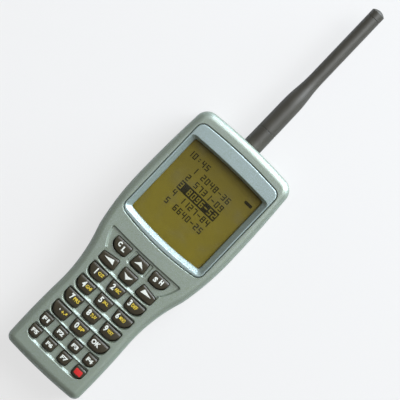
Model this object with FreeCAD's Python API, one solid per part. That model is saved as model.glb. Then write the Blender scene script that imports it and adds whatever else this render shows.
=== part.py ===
"""Portable barcode data terminal, built as separate pieces.

Sizes are millimetres. The pieces are made lying on the back, display up, with x to the right,
y from the foot of the handle towards the antenna, and z from the rear face to the display face.
The last step moves the origin to the middle of the whole length.
"""
import FreeCAD, Part
import functools
import math
import os

V = FreeCAD.Vector

# Housing outline, seen from the front; a taper is taken off each side, and the neck stands out
# from the line between the waist and the widest part of the head
body_length = 198.0
handle_width = 61.8
handle_widest_at = 25.0
foot_taper = 0.4
foot_crown = 1.2
foot_corner_radius = 5.0
waist_taper = 0.7
waist_at = 50.0
head_width = 81.8
head_widest_below = 64.0
shoulder_taper = 2.4
neck_at = 94.0
neck_bulge = 0.8
neck_corner_radius = 25.0
head_crown = 2.1
head_corner_radius = 9.0

# Housing section
thickness = 34.0
front_housing_depth = 14.0
seam_bevel = 0.4
front_rim_radius = 4.8
rear_rim_radius = 4.0
side_wall = 2.4
front_wall = 3.0
rear_wall = 2.2
grip_arch_height = 3.0
grip_arch_start = 12.0
grip_arch_end = 100.0

# Display surround, window and display, each drawn in from the one before
display_side_border = 6.4
display_opening_bottom = 112.2
display_top_border = 10.4
display_bottom_bow = 3.2
display_top_bow = 1.8
display_corner_radius = 5.5
surround_gap = 0.4
surround_plate = 2.4
surround_edge_radius = 0.7
funnel_side = 1.3
funnel_bottom_band = 2.0
funnel_top_band = 9.6
funnel_corner_radius = 3.0
funnel_depth = 3.6
funnel_side_slope = 3.6
funnel_bottom_slope = 3.0
funnel_top_slope = 1.4
view_bottom_bow = 2.0
view_top_bow = 1.0
view_corner_radius = 1.6
display_frame_side = 2.7
display_frame_wall = 2.0
display_frame_margin = 4.4
window_thickness = 1.2
display_module_thickness = 3.2
display_step = 0.5
display_step_depth = 0.4
display_fit = 0.3

# Keys and the troughs they stand in
key_column_pitch = 16.2
key_row_pitch = 11.25
lowest_key_row = 16.95
function_row_gap = 10.3
function_column_pitch = 12.8
outer_key_width = 13.2
centre_key_width = 11.6
centre_key_taper = 0.9
function_key_width = 8.2
function_key_taper = 0.4
key_height = 7.9
function_key_height = 7.2
key_bow = 0.4
key_corner_radius = 1.2
key_sweep_radius = 5.6
function_sweep_radius = 2.6
arrow_key_drop = 1.9
key_stand = 0.9
key_top_inset = 0.7
key_top_corner_radius = 0.4
key_upper_bevel = 1.5
key_shoulder = 0.7
key_gap = 0.25
key_flange = 0.9
key_flange_thickness = 1.2
key_flange_gap = 0.2
key_stem_radius = 2.0
key_travel = 1.0
trough_inset = 0.1
trough_depth = 1.3
trough_below = 4.2
trough_above = 4.9
trough_slope = 1.2
trough_upper_slope = 0.2
trough_bow = 0.7
trough_sweep_radius = 5.0
upper_recess_side = 6.1
upper_recess_above = 6.6
upper_recess_bow = 0.8
upper_recess_shoulder = 6.6
dish_depth = 0.5
dish_width = 14.6
dish_below = 4.8
dish_above = 4.6

# Board, keypad mat and the parts on the board
board_thickness = 1.6
board_depth = 11.6
board_handle_side = 5.9
board_head_side = 6.9
board_foot = 4.5
board_neck = 107.0
board_end_border = 9.0
board_corner_radius = 2.0
board_boss_notch = 0.6
mat_thickness = 1.2
mat_side = 0.5
mat_foot_margin = 4.55
mat_end_margin = 5.2
dome_radius = 2.4
dome_top_radius = 1.7
dome_height = 1.2
dome_gap = 0.1
board_screw_column = 20.0
board_foot_screw_column = 12.5
board_foot_screw_at = 8.4
board_neck_screw_below = 2.0
board_head_screw_below = 3.0
board_post_radius = 2.5
board_screw_radius = 1.0
board_screw_head_radius = 2.0
board_screw_head = 1.2
board_screw_length = 6.0
screw_fit = 0.05

# Screws that hold the two housings together
foot_screw_side = 10.0
foot_screw_at = 8.2
neck_screw_side = 6.0
neck_screw_above = 7.6
head_screw_side = 8.5
head_screw_below = 12.4
housing_boss_radius = 3.6
housing_screw_radius = 1.5
housing_screw_head_radius = 2.7
housing_screw_head_height = 2.0
housing_screw_recess = 4.0
housing_screw_engagement = 8.0
housing_screw_tip_gap = 0.5
screw_recess_gap = 0.3
socket_flat = 2.0
socket_depth = 1.2

# Battery, its compartment and its door
battery_side = 6.9
battery_length = 62.0
battery_foot = 26.0
battery_corner_radius = 2.5
battery_gap = 0.4
contact_space = 2.0
compartment_wall = 1.6
compartment_roof = 1.3
compartment_board_gap = 2.7
contact_count = 3
contact_pitch = 9.0
contact_width = 3.0
contact_strip = 0.3
door_side = 1.5
door_thickness = 2.0
door_foot_lap = 12.0
door_corner_radius = 3.0
door_gap = 0.3
door_swing_gap = 3.2
hinge_behind = 6.0
hinge_barrel_radius = 2.6
hinge_barrel_gap = 0.35
hinge_barrel_inner = 8.0
hinge_barrel_length = 12.0
hinge_end_gap = 0.3
hinge_pocket = 3.4
hinge_block_length = 7.0
hinge_block_height = 7.6
hinge_pin_radius = 1.0
hinge_pin_fit = 0.05
hinge_pin_end = 0.5
door_screw_from_edge = 5.6
door_screw_head_radius = 4.0
door_screw_head = 1.2
door_screw_sink = 0.15
door_screw_radius = 2.0
door_screw_length = 5.6
door_screw_hole_gap = 0.35
door_screw_head_gap = 0.3
coin_slot_width = 1.3
coin_slot_depth = 0.7
door_boss_radius = 5.4
door_boss_height = 1.0
insert_radius = 3.1
insert_wall = 0.8
insert_length = 5.0
insert_boss_radius = 4.6
grip_groove_count = 5
grip_groove_from_screw = 8.4
grip_groove_pitch = 2.8
grip_groove_length = 24.0
grip_groove_radius = 1.0
grip_groove_depth = 0.4

# Antenna
antenna_length = 120.0
antenna_base_radius = 6.6
antenna_lower_radius = 6.4
antenna_tip_radius = 4.75
antenna_taper_start = 34.0
antenna_taper_end = 61.0
antenna_dome = 2.0
antenna_base_gap = 0.3
antenna_ring_up = 14.0
antenna_ring_down = 6.7
antenna_ring_depth = 0.3
stud_radius = 3.0
stud_engagement = 7.0
stud_root = 12.0
stud_fit = 0.08
antenna_socket_radius = 5.0
antenna_socket_length = 8.0
antenna_socket_flange_radius = 7.0
antenna_socket_flange = 2.2
antenna_socket_tail_radius = 4.2
feed_strip = 0.3
feed_width = 3.0
feed_pad = 7.0

# Parts inside the head; a side margin runs from the edge of the board
processor_side = 14.0
processor_thickness = 1.6
processor_side_margin = 11.0
processor_below = 31.0
memory_width = 10.0
memory_length = 14.0
memory_thickness = 1.2
memory_side_margin = 6.5
memory_above_neck = 11.0
memory_pitch = 13.0
radio_width = 24.0
radio_length = 30.0
radio_thickness = 3.0
radio_side_margin = 7.0
radio_below = 30.5
cell_radius = 8.0
cell_thickness = 3.2
cell_side_margin = 9.0
cell_above_neck = 8.0
buzzer_radius = 6.5
buzzer_height = 5.0
buzzer_hole_radius = 1.1
buzzer_across = 22.0
buzzer_below = 13.0
scan_window_width = 38.0
scan_window_bottom = 4.8
scan_window_thickness = 1.6
scan_window_sink = 0.6
scan_window_lip = 1.2
scan_window_fit = 0.05
scan_window_corner_radius = 1.5
scan_window_socket_gap = 0.8
scan_engine_width = 24.0
scan_engine_length = 16.0
scan_engine_above_window = 0.6
scan_engine_gap = 1.0
scan_lens_radius = 3.0
scan_lens_depth = 2.0
scan_lens_across = 4.8

# Data port in the foot
port_nose_width = 14.0
port_sink = 0.5
port_body_width = 16.0
port_body_length = 10.2
port_socket_width = 10.8
port_socket_height = 5.2
port_socket_depth = 8.4
port_wall = 1.5
port_roof = 2.7
port_gap = 0.2

# Values worked out from the ones above
overall_length = body_length + antenna_length
foot_width = handle_width - 2 * foot_taper
waist_width = handle_width - 2 * waist_taper
head_widest_at = body_length - head_widest_below
neck_share = (neck_at - waist_at) / (head_widest_at - waist_at)
neck_width = waist_width + (head_width - waist_width) * neck_share + 2 * neck_bulge
shoulder_width = head_width - 2 * shoulder_taper
seam_height = thickness - front_housing_depth
antenna_height = seam_height
front_inner = thickness - front_wall
display_seat = thickness - surround_plate
display_opening_width = head_width - 2 * display_side_border
display_opening_top = body_length - display_top_border
funnel_width = display_opening_width - 2 * funnel_side
funnel_bottom = display_opening_bottom + funnel_bottom_band
funnel_top = display_opening_top - funnel_top_band
view_width = funnel_width - 2 * funnel_side_slope
view_bottom = funnel_bottom + funnel_bottom_slope
view_top = funnel_top - funnel_top_slope
window_top = thickness - funnel_depth
display_frame_width = view_width + 2 * display_frame_side
trough_width = 2 * key_column_pitch + outer_key_width - 2 * trough_inset
upper_recess_width = trough_width + 2 * upper_recess_side
trough_floor = thickness - trough_depth
key_top = thickness + key_stand
flange_top = front_inner - key_flange_gap
flange_bottom = flange_top - key_flange_thickness
board_height = thickness - board_depth
board_top = board_height + board_thickness
board_handle_width = handle_width - 2 * board_handle_side
board_head_width = head_width - 2 * board_head_side
processor_across = board_head_width / 2 - processor_side_margin - processor_side / 2
memory_across = board_head_width / 2 - memory_side_margin - (memory_width + memory_pitch) / 2
radio_across = radio_side_margin + radio_width / 2 - board_head_width / 2
cell_across = cell_side_margin + cell_radius - board_head_width / 2
board_end = body_length - board_end_border
board_neck_screw_at = board_neck - board_neck_screw_below
board_head_screw_at = board_end - board_head_screw_below
mat_top = board_top + mat_thickness
mat_width = board_handle_width - 2 * mat_side
mat_foot = lowest_key_row - mat_foot_margin
battery_width = handle_width - 2 * battery_side
battery_bottom = grip_arch_height + door_thickness + battery_gap
compartment_top = board_height - compartment_board_gap - compartment_roof
battery_top = compartment_top - battery_gap
compartment_end = battery_foot + battery_length + contact_space
hinge_at = compartment_end + hinge_behind
hinge_barrel_outer = hinge_barrel_inner + hinge_barrel_length
door_width = battery_width + 2 * door_side
hinge_pin_length = door_width + 2 * hinge_pin_end
door_foot = battery_foot - door_foot_lap
door_screw_at = door_foot + door_screw_from_edge
grip_groove_start = door_screw_at + grip_groove_from_screw
processor_at = board_end - processor_below
memory_at = board_neck + memory_above_neck
radio_at = board_end - radio_below
cell_at = board_neck + cell_above_neck
buzzer_at = board_end - buzzer_below
scan_window_top = antenna_height - antenna_socket_flange_radius - scan_window_socket_gap
port_nose_top = seam_height - port_gap
port_socket_bottom = port_nose_top - port_roof - port_socket_height
port_nose_bottom = port_socket_bottom - port_wall
digit_rows_start = 2
function_rows_start = 6
beyond = 20.0
overcut = 1.0
tiny = 1e-4
near = 0.01


def box(x0, x1, y0, y1, z0, z1):
    """Block between two corners."""
    return Part.makeBox(x1 - x0, y1 - y0, z1 - z0, V(x0, y0, z0))


def rod(radius, start, direction, length):
    """Round bar from a start point along a direction."""
    return Part.makeCylinder(radius, length, start, direction)


def joined(shapes):
    """One solid from shapes that overlap or touch."""
    return shapes[0].multiFuse(shapes[1:]).removeSplitter()


def tangent_arc(start, direction, end):
    """Arc that leaves start along a direction and reaches end."""
    chord = end - start
    turn = direction.getAngle(chord)
    leaving = V(direction).normalize()
    halfway = leaving + V(chord).normalize()
    middle = start + halfway.normalize() * (chord.Length / 2 / math.cos(turn / 2))
    return Part.Arc(start, middle, end).toShape()


def s_curve(start, end, direction):
    """Two equal arcs that leave start and reach end along the same direction."""
    middle = (start + end) / 2
    return [tangent_arc(start, direction, middle), tangent_arc(end, -direction, middle)]


def closed_wire(edges):
    """One wire from edges in any order."""
    return Part.Wire(Part.__sortEdges__(edges))


def is_upright(edge):
    """True for an edge that runs straight along z."""
    ends = [v.Point for v in edge.Vertexes]
    if len(ends) < 2:
        return False
    step = ends[1] - ends[0]
    return abs(step.x) < tiny and abs(step.y) < tiny and abs(step.z) > tiny


def is_straight(edge):
    """True for an edge as long as the distance between its ends."""
    ends = [v.Point for v in edge.Vertexes]
    return len(ends) == 2 and abs(edge.Length - ends[0].distanceToPoint(ends[1])) < tiny


def stands_at(edge, corner):
    """True for an upright edge at a corner point."""
    foot = edge.Vertexes[0].Point
    return is_upright(edge) and math.hypot(foot.x - corner[0], foot.y - corner[1]) < near


def round_upright(solid, corners, radius):
    """Rounds the upright edges that stand at corner points."""
    edges = [e for e in solid.Edges if any(stands_at(e, corner) for corner in corners)]
    return solid.makeFillet(radius, edges)


def four_sided(corners, bows, radii, low, high):
    """Upright block on four corners: each side may bow outwards, each corner has its radius.

    Corners go round from the lower left to the lower right, upper right and upper left, and each
    side starts at the corner of the same number.
    """
    edges = []
    for number, corner in enumerate(corners):
        start = V(corner[0], corner[1], low)
        following = corners[(number + 1) % len(corners)]
        end = V(following[0], following[1], low)
        if bows[number]:
            along = (end - start).normalize()
            outwards = V(along.y, -along.x, 0)
            middle = (start + end) / 2 + outwards * bows[number]
            edges.append(Part.Arc(start, middle, end).toShape())
        else:
            edges.append(Part.LineSegment(start, end).toShape())
    solid = Part.Face(Part.Wire(edges)).extrude(V(0, 0, high - low))
    for radius in sorted(set(radii)):
        if radius > 0:
            solid = round_upright(solid, [c for c, r in zip(corners, radii) if r == radius], radius)
    return solid


def rounded_block(width, bottom, top, radius, low, high, at=0.0):
    """Upright block with four equal corner radii, centred on x = at."""
    left = at - width / 2
    right = at + width / 2
    corners = [(left, bottom), (right, bottom), (right, top), (left, top)]
    return four_sided(corners, [0, 0, 0, 0], [radius] * 4, low, high)


def flat_face(solid, height):
    """The level face of a solid at a height."""
    level = [f for f in solid.Faces
             if abs(f.BoundBox.ZMin - height) < tiny and abs(f.BoundBox.ZMax - height) < tiny]
    return max(level, key=lambda face: face.Area)


def drafted(lower, upper, low, high):
    """Solid with sloping walls between the base of one upright block and the top of another."""
    wires = [flat_face(lower, low).OuterWire, flat_face(upper, high).OuterWire]
    return Part.makeLoft(wires, True, True)


# Housing envelope

def outline_edges():
    """Right half of the housing outline, from the foot to the middle of the head, and its mirror."""
    foot = V(foot_width / 2, foot_crown, 0)
    handle = V(handle_width / 2, handle_widest_at, 0)
    waist = V(waist_width / 2, waist_at, 0)
    neck = V(neck_width / 2, neck_at, 0)
    head = V(head_width / 2, head_widest_at, 0)
    shoulder = V(shoulder_width / 2, body_length - head_crown, 0)
    grip = Part.Arc(foot, handle, waist).toShape()
    side = [
        grip,
        tangent_arc(waist, grip.tangentAt(grip.LastParameter), neck),
        tangent_arc(head, V(0, -1, 0), neck),
        tangent_arc(head, V(0, 1, 0), shoulder),
    ]
    other = [edge.mirror(V(0, 0, 0), V(1, 0, 0)) for edge in side]
    foot_edge = Part.Arc(V(-foot.x, foot.y, 0), V(0, 0, 0), foot).toShape()
    top_edge = Part.Arc(V(-shoulder.x, shoulder.y, 0), V(0, body_length, 0), shoulder).toShape()
    return side + other + [foot_edge, top_edge]


def outline_block(inset):
    """Upright block on the outline drawn in by an inset, its corners rounded."""
    wire = closed_wire(outline_edges())
    if inset > 0:
        wire = wire.makeOffset2D(-inset, 2)
    block = Part.Face(wire).extrude(V(0, 0, thickness + 2 * beyond))
    block.translate(V(0, 0, -beyond))
    foot_line = foot_crown + foot_corner_radius
    head_line = body_length - head_crown - head_corner_radius
    for edge in [e for e in block.Edges if is_upright(e)]:
        place = edge.Vertexes[0].Point
        if place.y < foot_line:
            radius = foot_corner_radius - inset
        elif place.y > head_line:
            radius = head_corner_radius - inset
        elif abs(place.y - neck_at) < neck_corner_radius / 3:
            radius = neck_corner_radius
        else:
            continue
        if radius > 0:
            block = round_upright(block, [(place.x, place.y)], radius)
    return block


def side_slab(rise, drop):
    """Slab across the housing, between the rear surface raised by rise and the front less drop."""
    middle = (grip_arch_start + grip_arch_end) / 2
    points = [V(0, -beyond, rise), V(0, grip_arch_start, rise), V(0, middle, grip_arch_height + rise),
              V(0, grip_arch_end, rise), V(0, body_length + beyond, rise)]
    top = thickness - drop
    edges = [Part.LineSegment(points[0], points[1]).toShape()]
    edges += s_curve(points[1], points[2], V(0, 1, 0))
    edges += s_curve(points[2], points[3], V(0, 1, 0))
    edges.append(Part.LineSegment(points[3], points[4]).toShape())
    edges.append(Part.LineSegment(points[4], V(0, points[4].y, top)).toShape())
    edges.append(Part.LineSegment(V(0, points[4].y, top), V(0, -beyond, top)).toShape())
    edges.append(Part.LineSegment(V(0, -beyond, top), points[0]).toShape())
    slab = Part.Face(closed_wire(edges)).extrude(V(head_width + 2 * beyond, 0, 0))
    slab.translate(V(-head_width / 2 - beyond, 0, 0))
    return slab


def envelope():
    """The closed outer form of the two housings, rims rounded."""
    body = outline_block(0).common(side_slab(0, 0)).removeSplitter()
    if body.ShapeType != "Solid":
        body = body.Solids[0]
    front = [e for e in body.Edges if e.BoundBox.ZMin > thickness - tiny and not is_straight(e)]
    body = body.makeFillet(front_rim_radius, front)
    rear = [e for e in body.Edges if e.BoundBox.ZMax < grip_arch_height + tiny and not is_straight(e)]
    return body.makeFillet(rear_rim_radius, rear)


def half_shell(form, low, high):
    """The part of the envelope between two heights, with a bevelled seam and hollowed out."""
    half = form.common(box(-head_width, head_width, -beyond, body_length + beyond, low, high))
    half = half.Solids[0]
    seam = [e for e in half.Edges
            if abs(e.BoundBox.ZMin - seam_height) < tiny and abs(e.BoundBox.ZMax - seam_height) < tiny]
    half = half.makeChamfer(seam_bevel, seam)
    cavity = outline_block(side_wall).common(side_slab(rear_wall, front_wall))
    return half.cut(cavity)


# Keys

def key_rows():
    """Middle heights of the eight rows of keys, from the top row down."""
    rows = [lowest_key_row, lowest_key_row + function_row_gap]
    rows.append(rows[-1] + function_row_gap)
    while len(rows) < len(key_names()):
        rows.append(rows[-1] + key_row_pitch)
    return rows[::-1]


def key_names():
    """Names of the keys, row by row from the left."""
    return [
        ["key_soft_left", "key_up", "key_soft_right"],
        ["key_left", "key_down", "key_right"],
        ["key_1", "key_2", "key_3"],
        ["key_4", "key_5", "key_6"],
        ["key_7", "key_8", "key_9"],
        ["key_point", "key_0", "key_enter"],
        ["key_f1", "key_f2", "key_f3", "key_f4"],
        ["key_f5", "key_f6", "key_f7", "key_power"],
    ]


def outer_key_outline(row, grow, side):
    """Corners, bows and radii of an outer key about its own middle; side is -1 left, 1 right."""
    half = outer_key_width / 2 + grow
    rise = key_height / 2 + grow
    outer_drop = arrow_key_drop if row == 1 else 0.0
    inner_draw = centre_key_taper if row != 1 else -centre_key_taper
    sweep = key_sweep_radius if row != 1 else key_corner_radius
    lower_inner = (half - max(inner_draw, 0), -rise)
    upper_inner = (half + min(inner_draw, 0), rise)
    corners = [(-half, -rise), lower_inner, upper_inner, (-half, rise - outer_drop)]
    radii = [sweep + grow, key_corner_radius + grow, key_corner_radius + grow, key_corner_radius + grow]
    bows = [key_bow, 0, 0, 0]
    if side > 0:
        corners = [(-corners[i][0], corners[i][1]) for i in (1, 0, 3, 2)]
        radii = [radii[i] for i in (1, 0, 3, 2)]
    return corners, bows, radii


def centre_key_outline(row, grow):
    """Corners, bows and radii of a middle key: narrower at the foot, or at the top in the first row."""
    lower = centre_key_width / 2 + grow - (centre_key_taper if row else 0)
    upper = centre_key_width / 2 + grow - (0 if row else centre_key_taper)
    rise = key_height / 2 + grow
    corners = [(-lower, -rise), (lower, -rise), (upper, rise), (-upper, rise)]
    return corners, [key_bow, 0, 0, 0], [key_corner_radius + grow] * 4


def function_key_outline(column, grow):
    """Corners, bows and radii of a small key; the outer two have one swept corner."""
    upper = function_key_width / 2 + grow
    lower = upper - function_key_taper
    rise = function_key_height / 2 + grow
    corners = [(-lower, -rise), (lower, -rise), (upper, rise), (-upper, rise)]
    radii = [key_corner_radius + grow] * 4
    if column == 0:
        radii[0] = function_sweep_radius + grow
    if column == 3:
        radii[1] = function_sweep_radius + grow
    return corners, [key_bow, 0, 0, 0], radii


def key_outline(row, column, grow):
    """Corners, bows and radii of any key, grown on every side."""
    if row >= function_rows_start:
        return function_key_outline(column, grow)
    if column == 1:
        return centre_key_outline(row, grow)
    return outer_key_outline(row, grow, column - 1)


def key_place(row, column):
    """Middle of a key on the face."""
    if row >= function_rows_start:
        return (column - 1.5) * function_column_pitch, key_rows()[row]
    return (column - 1) * key_column_pitch, key_rows()[row]


def key_block(row, column, grow, low, high):
    """Upright block on the outline of a key, its middle on the z axis."""
    return four_sided(*key_outline(row, column, grow), low, high)


def key_crown(row, column, low, high):
    """Top of a key: drawn in all round, and further on the antenna side."""
    corners, bows, radii = key_outline(row, column, -key_top_inset)
    lowered = [(x, y if y < 0 else y - key_upper_bevel + key_top_inset) for x, y in corners]
    small = [max(radius, key_top_corner_radius) for radius in radii]
    upper = four_sided(lowered, bows, small, low, high)
    return drafted(key_block(row, column, 0, low, high), upper, low, high)


@functools.lru_cache(maxsize=None)
def key_form(kind, column):
    """A hard key: crown, shank through the housing, flange under it and a stem to its dome."""
    shoulder = key_top - key_shoulder
    stem_bottom = mat_top + dome_height + dome_gap + key_travel
    return joined([
        key_crown(kind, column, shoulder, key_top),
        key_block(kind, column, 0, flange_top, shoulder),
        key_block(kind, column, key_flange, flange_bottom, flange_top),
        rod(key_stem_radius, V(0, 0, stem_bottom), V(0, 0, 1), flange_bottom - stem_bottom),
    ])


@functools.lru_cache(maxsize=None)
def key_opening_form(kind, column):
    """Hole in the front wall that a key passes through."""
    return key_block(kind, column, key_gap, front_inner - overcut, thickness)


def key_kind(row):
    """Number of the first row whose keys have the same outlines as this row's."""
    if row >= function_rows_start:
        return function_rows_start
    return min(row, digit_rows_start)


def placed(form, row, column):
    """A copy of a key's form, moved to its place on the face."""
    x, y = key_place(row, column)
    copy = form.copy()
    copy.translate(V(x, y, 0))
    return copy


def key(row, column):
    """The key of a row and column, in its place."""
    return placed(key_form(key_kind(row), column), row, column)


def each_key():
    """Every key as its name, row and column."""
    for row, names in enumerate(key_names()):
        for column, name in enumerate(names):
            yield name, row, column


def key_openings():
    """Holes in the front wall that the keys pass through."""
    return [placed(key_opening_form(key_kind(row), column), row, column) for _, row, column in each_key()]


# Key troughs

def trough_outline(width, below, above, sweep, corner):
    """Corners, bows and radii of a trough: bowed towards the foot above and below."""
    half = width / 2
    corners = [(-half, -below), (half, -below), (half, above), (-half, above)]
    return corners, [trough_bow, 0, -trough_bow, 0], [sweep, sweep, corner, corner]


@functools.lru_cache(maxsize=None)
def trough_form():
    """Cutter for the trough of a row: the wall towards the foot slopes, the upper wall is steep."""
    floor_outline = trough_outline(trough_width, trough_below, trough_above, trough_sweep_radius,
                                   key_corner_radius)
    rim_outline = trough_outline(trough_width + trough_slope, trough_below + trough_slope,
                                 trough_above + trough_upper_slope, trough_sweep_radius + trough_slope / 2,
                                 key_corner_radius)
    lower = four_sided(*floor_outline, trough_floor, trough_floor + overcut)
    upper = four_sided(*rim_outline, thickness - overcut, thickness)
    above = four_sided(*rim_outline, thickness, thickness + overcut)
    return drafted(lower, upper, trough_floor, thickness).fuse(above)


def trough(row_middle):
    """The trough cutter, moved to the middle of a row."""
    cutter = trough_form().copy()
    cutter.translate(V(0, row_middle, 0))
    return cutter


def bowl_outline(grow):
    """Corners, bows and radii of the bowl round the top row, its shoulders drawn in to the next row."""
    lower = trough_width / 2 + grow
    upper = upper_recess_width / 2 + grow
    top = upper_recess_above + grow * trough_upper_slope / trough_slope
    shoulder = -upper_recess_shoulder
    corners = [(-lower, shoulder), (lower, shoulder), (upper, top), (-upper, top)]
    bows = [0, upper_recess_bow, -upper_recess_bow, upper_recess_bow]
    return corners, bows, [0, 0, key_corner_radius, key_corner_radius]


def upper_recess():
    """Cutters for the wide recess round the two upper rows."""
    rows = key_rows()
    lower = four_sided(*bowl_outline(0), trough_floor, trough_floor + overcut)
    upper = four_sided(*bowl_outline(trough_slope), thickness - overcut, thickness)
    above = four_sided(*bowl_outline(trough_slope), thickness, thickness + overcut)
    bowl = drafted(lower, upper, trough_floor, thickness).fuse(above)
    bowl.translate(V(0, rows[0], 0))
    half = trough_width / 2 - key_corner_radius
    neck = box(-half, half, rows[1], (rows[0] + rows[1]) / 2, trough_floor, thickness + overcut)
    return [trough(rows[1]), bowl, neck]


def dish():
    """Cutter for the shallow dish round the up key."""
    floor = trough_floor - dish_depth
    floor_outline = trough_outline(dish_width, dish_below - trough_slope / 2, dish_above, key_corner_radius,
                                   key_corner_radius)
    rim_outline = trough_outline(dish_width + trough_slope, dish_below, dish_above + trough_upper_slope,
                                 key_corner_radius, key_corner_radius)
    lower = four_sided(*floor_outline, floor, floor + overcut)
    upper = four_sided(*rim_outline, trough_floor - overcut, trough_floor)
    cutter = drafted(lower, upper, floor, trough_floor)
    cutter.translate(V(0, key_rows()[0], 0))
    return cutter


def key_recesses():
    """All recesses of the keypad."""
    rows = key_rows()
    return upper_recess() + [dish()] + [trough(middle) for middle in rows[2:]]


# Display

def display_outline(width, bottom, top, bottom_bow, top_bow, radius, low, high):
    """Upright block on the outline of a display piece: bowed at the bottom and the top."""
    corners = [(-width / 2, bottom), (width / 2, bottom), (width / 2, top), (-width / 2, top)]
    return four_sided(corners, [bottom_bow, 0, top_bow, 0], [radius] * 4, low, high)


def surround_outline(gap, low, high):
    """Outline of the recess for the display surround, drawn in by a gap."""
    return display_outline(display_opening_width - 2 * gap, display_opening_bottom + gap,
                           display_opening_top - gap, display_bottom_bow, display_top_bow,
                           display_corner_radius - gap, low, high)


def frame_outline(grow, low, high):
    """Outline of the frame that holds the window and the display, grown by a wall or drawn in."""
    radius = view_corner_radius + max(grow, 0)
    return rounded_block(display_frame_width + 2 * grow, view_bottom - display_frame_margin - grow,
                         view_top + display_frame_margin + grow, radius, low, high)


def display_bezel():
    """Surround of the display: a plate with a skirt and a funnel down to the window."""
    plate = surround_outline(surround_gap, display_seat, thickness)
    rim = [e for e in flat_face(plate, thickness).OuterWire.Edges]
    plate = plate.makeFillet(surround_edge_radius, rim)
    skirt = frame_outline(-display_fit, window_top, display_seat)
    floor = display_outline(view_width, view_bottom, view_top, view_bottom_bow, view_top_bow,
                            view_corner_radius, window_top, thickness)
    mouth = display_outline(funnel_width, funnel_bottom, funnel_top, view_bottom_bow, view_top_bow,
                            funnel_corner_radius, window_top, thickness)
    return joined([plate, skirt]).cut(drafted(floor, mouth, window_top, thickness))


def window_lens():
    """Clear window under the surround."""
    return frame_outline(-display_fit, window_top - window_thickness, window_top)


def lcd_module():
    """Display module: the glass sits in a step of its frame."""
    top = window_top - window_thickness
    frame = frame_outline(-display_fit, top - display_module_thickness, top)
    view = display_outline(view_width + 2 * display_step, view_bottom - display_step,
                           view_top + display_step, view_bottom_bow, view_top_bow,
                           view_corner_radius, top - display_step_depth, top)
    return frame.cut(view)


def lcd_backlight():
    """Light guide between the display module and the board."""
    top = window_top - window_thickness - display_module_thickness
    return frame_outline(-display_fit, board_top, top)


# Front housing

def mirror_places(places):
    """Each place and its mirror on the other side."""
    return [(side * x, y) for x, y in places for side in (-1, 1)]


def housing_screw_places():
    """Places of the screws that join the housings."""
    return mirror_places([
        (foot_width / 2 - foot_screw_side, foot_screw_at),
        (neck_width / 2 - neck_screw_side, neck_at + neck_screw_above),
        (head_width / 2 - head_screw_side, body_length - head_screw_below),
    ])


def board_screw_places():
    """Places of the screws that hold the board."""
    return mirror_places([
        (board_foot_screw_column, board_foot_screw_at),
        (board_screw_column, board_neck_screw_at),
        (board_screw_column, board_head_screw_at),
    ])


def antenna_rod(radius, start, end):
    """Round bar on the antenna axis between two distances from the foot."""
    return rod(radius, V(0, start, antenna_height), V(0, 1, 0), end - start)


def antenna_seat():
    """Cutters for the hole in the end wall and the seat of the antenna socket's flange."""
    return [
        antenna_rod(antenna_socket_radius + screw_fit, antenna_socket_foot(), body_length + overcut),
        antenna_rod(antenna_socket_flange_radius + screw_fit, antenna_socket_foot() - overcut,
                    antenna_socket_shoulder()),
    ]


def front_housing(form):
    """Front moulding: shell, screw bosses, display frame, key troughs and key openings."""
    shell = half_shell(form, seam_height, thickness + beyond)
    pads = [rod(housing_boss_radius, V(x, y, seam_height), V(0, 0, 1), front_inner - seam_height + overcut)
            for x, y in housing_screw_places()]
    posts = [rod(board_post_radius, V(x, y, board_top), V(0, 0, 1), front_inner - board_top + overcut)
             for x, y in board_screw_places()]
    frame = frame_outline(display_frame_wall, board_top, display_seat)
    seat = surround_outline(-surround_plate, front_inner - surround_plate, display_seat)
    inside = outline_block(side_wall / 2)
    solids = [shell, frame.common(inside), seat.common(inside)]
    solids += [pad.common(inside) for pad in pads] + posts
    shell = joined(solids)
    cuts = [surround_outline(0, display_seat, thickness + overcut)]
    cuts.append(frame_outline(0, board_top - overcut, thickness))
    screw_hole = housing_screw_engagement + housing_screw_tip_gap
    cuts += [rod(housing_screw_radius + screw_fit, V(x, y, seam_height), V(0, 0, 1), screw_hole)
             for x, y in housing_screw_places()]
    cuts += [rod(board_screw_radius + screw_fit, V(x, y, board_top), V(0, 0, 1), board_screw_length)
             for x, y in board_screw_places()]
    cuts += antenna_seat()
    cuts += key_recesses()
    cuts += key_openings()
    return shell.cut(cuts)


# Rear housing

def door_outline(grow, end, low, high):
    """Outline of the battery door from its free end to the hinge, grown on the free sides."""
    half = door_width / 2 + grow
    foot = door_foot - grow
    corners = [(-half, foot), (half, foot), (half, end), (-half, end)]
    radius = door_corner_radius + grow
    return four_sided(corners, [0, 0, 0, 0], [radius, radius, 0, 0], low, high)


def rear_skin(outline, depth):
    """The layer of an upright block that lies within a depth of the rear surface."""
    return outline.common(side_slab(0, 0)).cut(side_slab(depth, 0))


def hinge_rod(radius, start, end):
    """Round bar on the hinge axis between two sides."""
    return rod(radius, V(start, hinge_at, hinge_barrel_radius), V(1, 0, 0), end - start)


def door_barrel_spans(gap):
    """The stretches of the hinge axis that the door's two barrels fill, with a gap at each end."""
    inner = hinge_barrel_inner - gap
    outer = hinge_barrel_outer + gap
    return [(-outer, -inner), (inner, outer)]


def housing_barrel_spans():
    """The stretches of the hinge axis that belong to the housing."""
    edge = door_width / 2 + door_gap
    return [(-edge, -hinge_barrel_outer - hinge_end_gap), (-hinge_barrel_inner + hinge_end_gap,
            hinge_barrel_inner - hinge_end_gap), (hinge_barrel_outer + hinge_end_gap, edge)]


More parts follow.
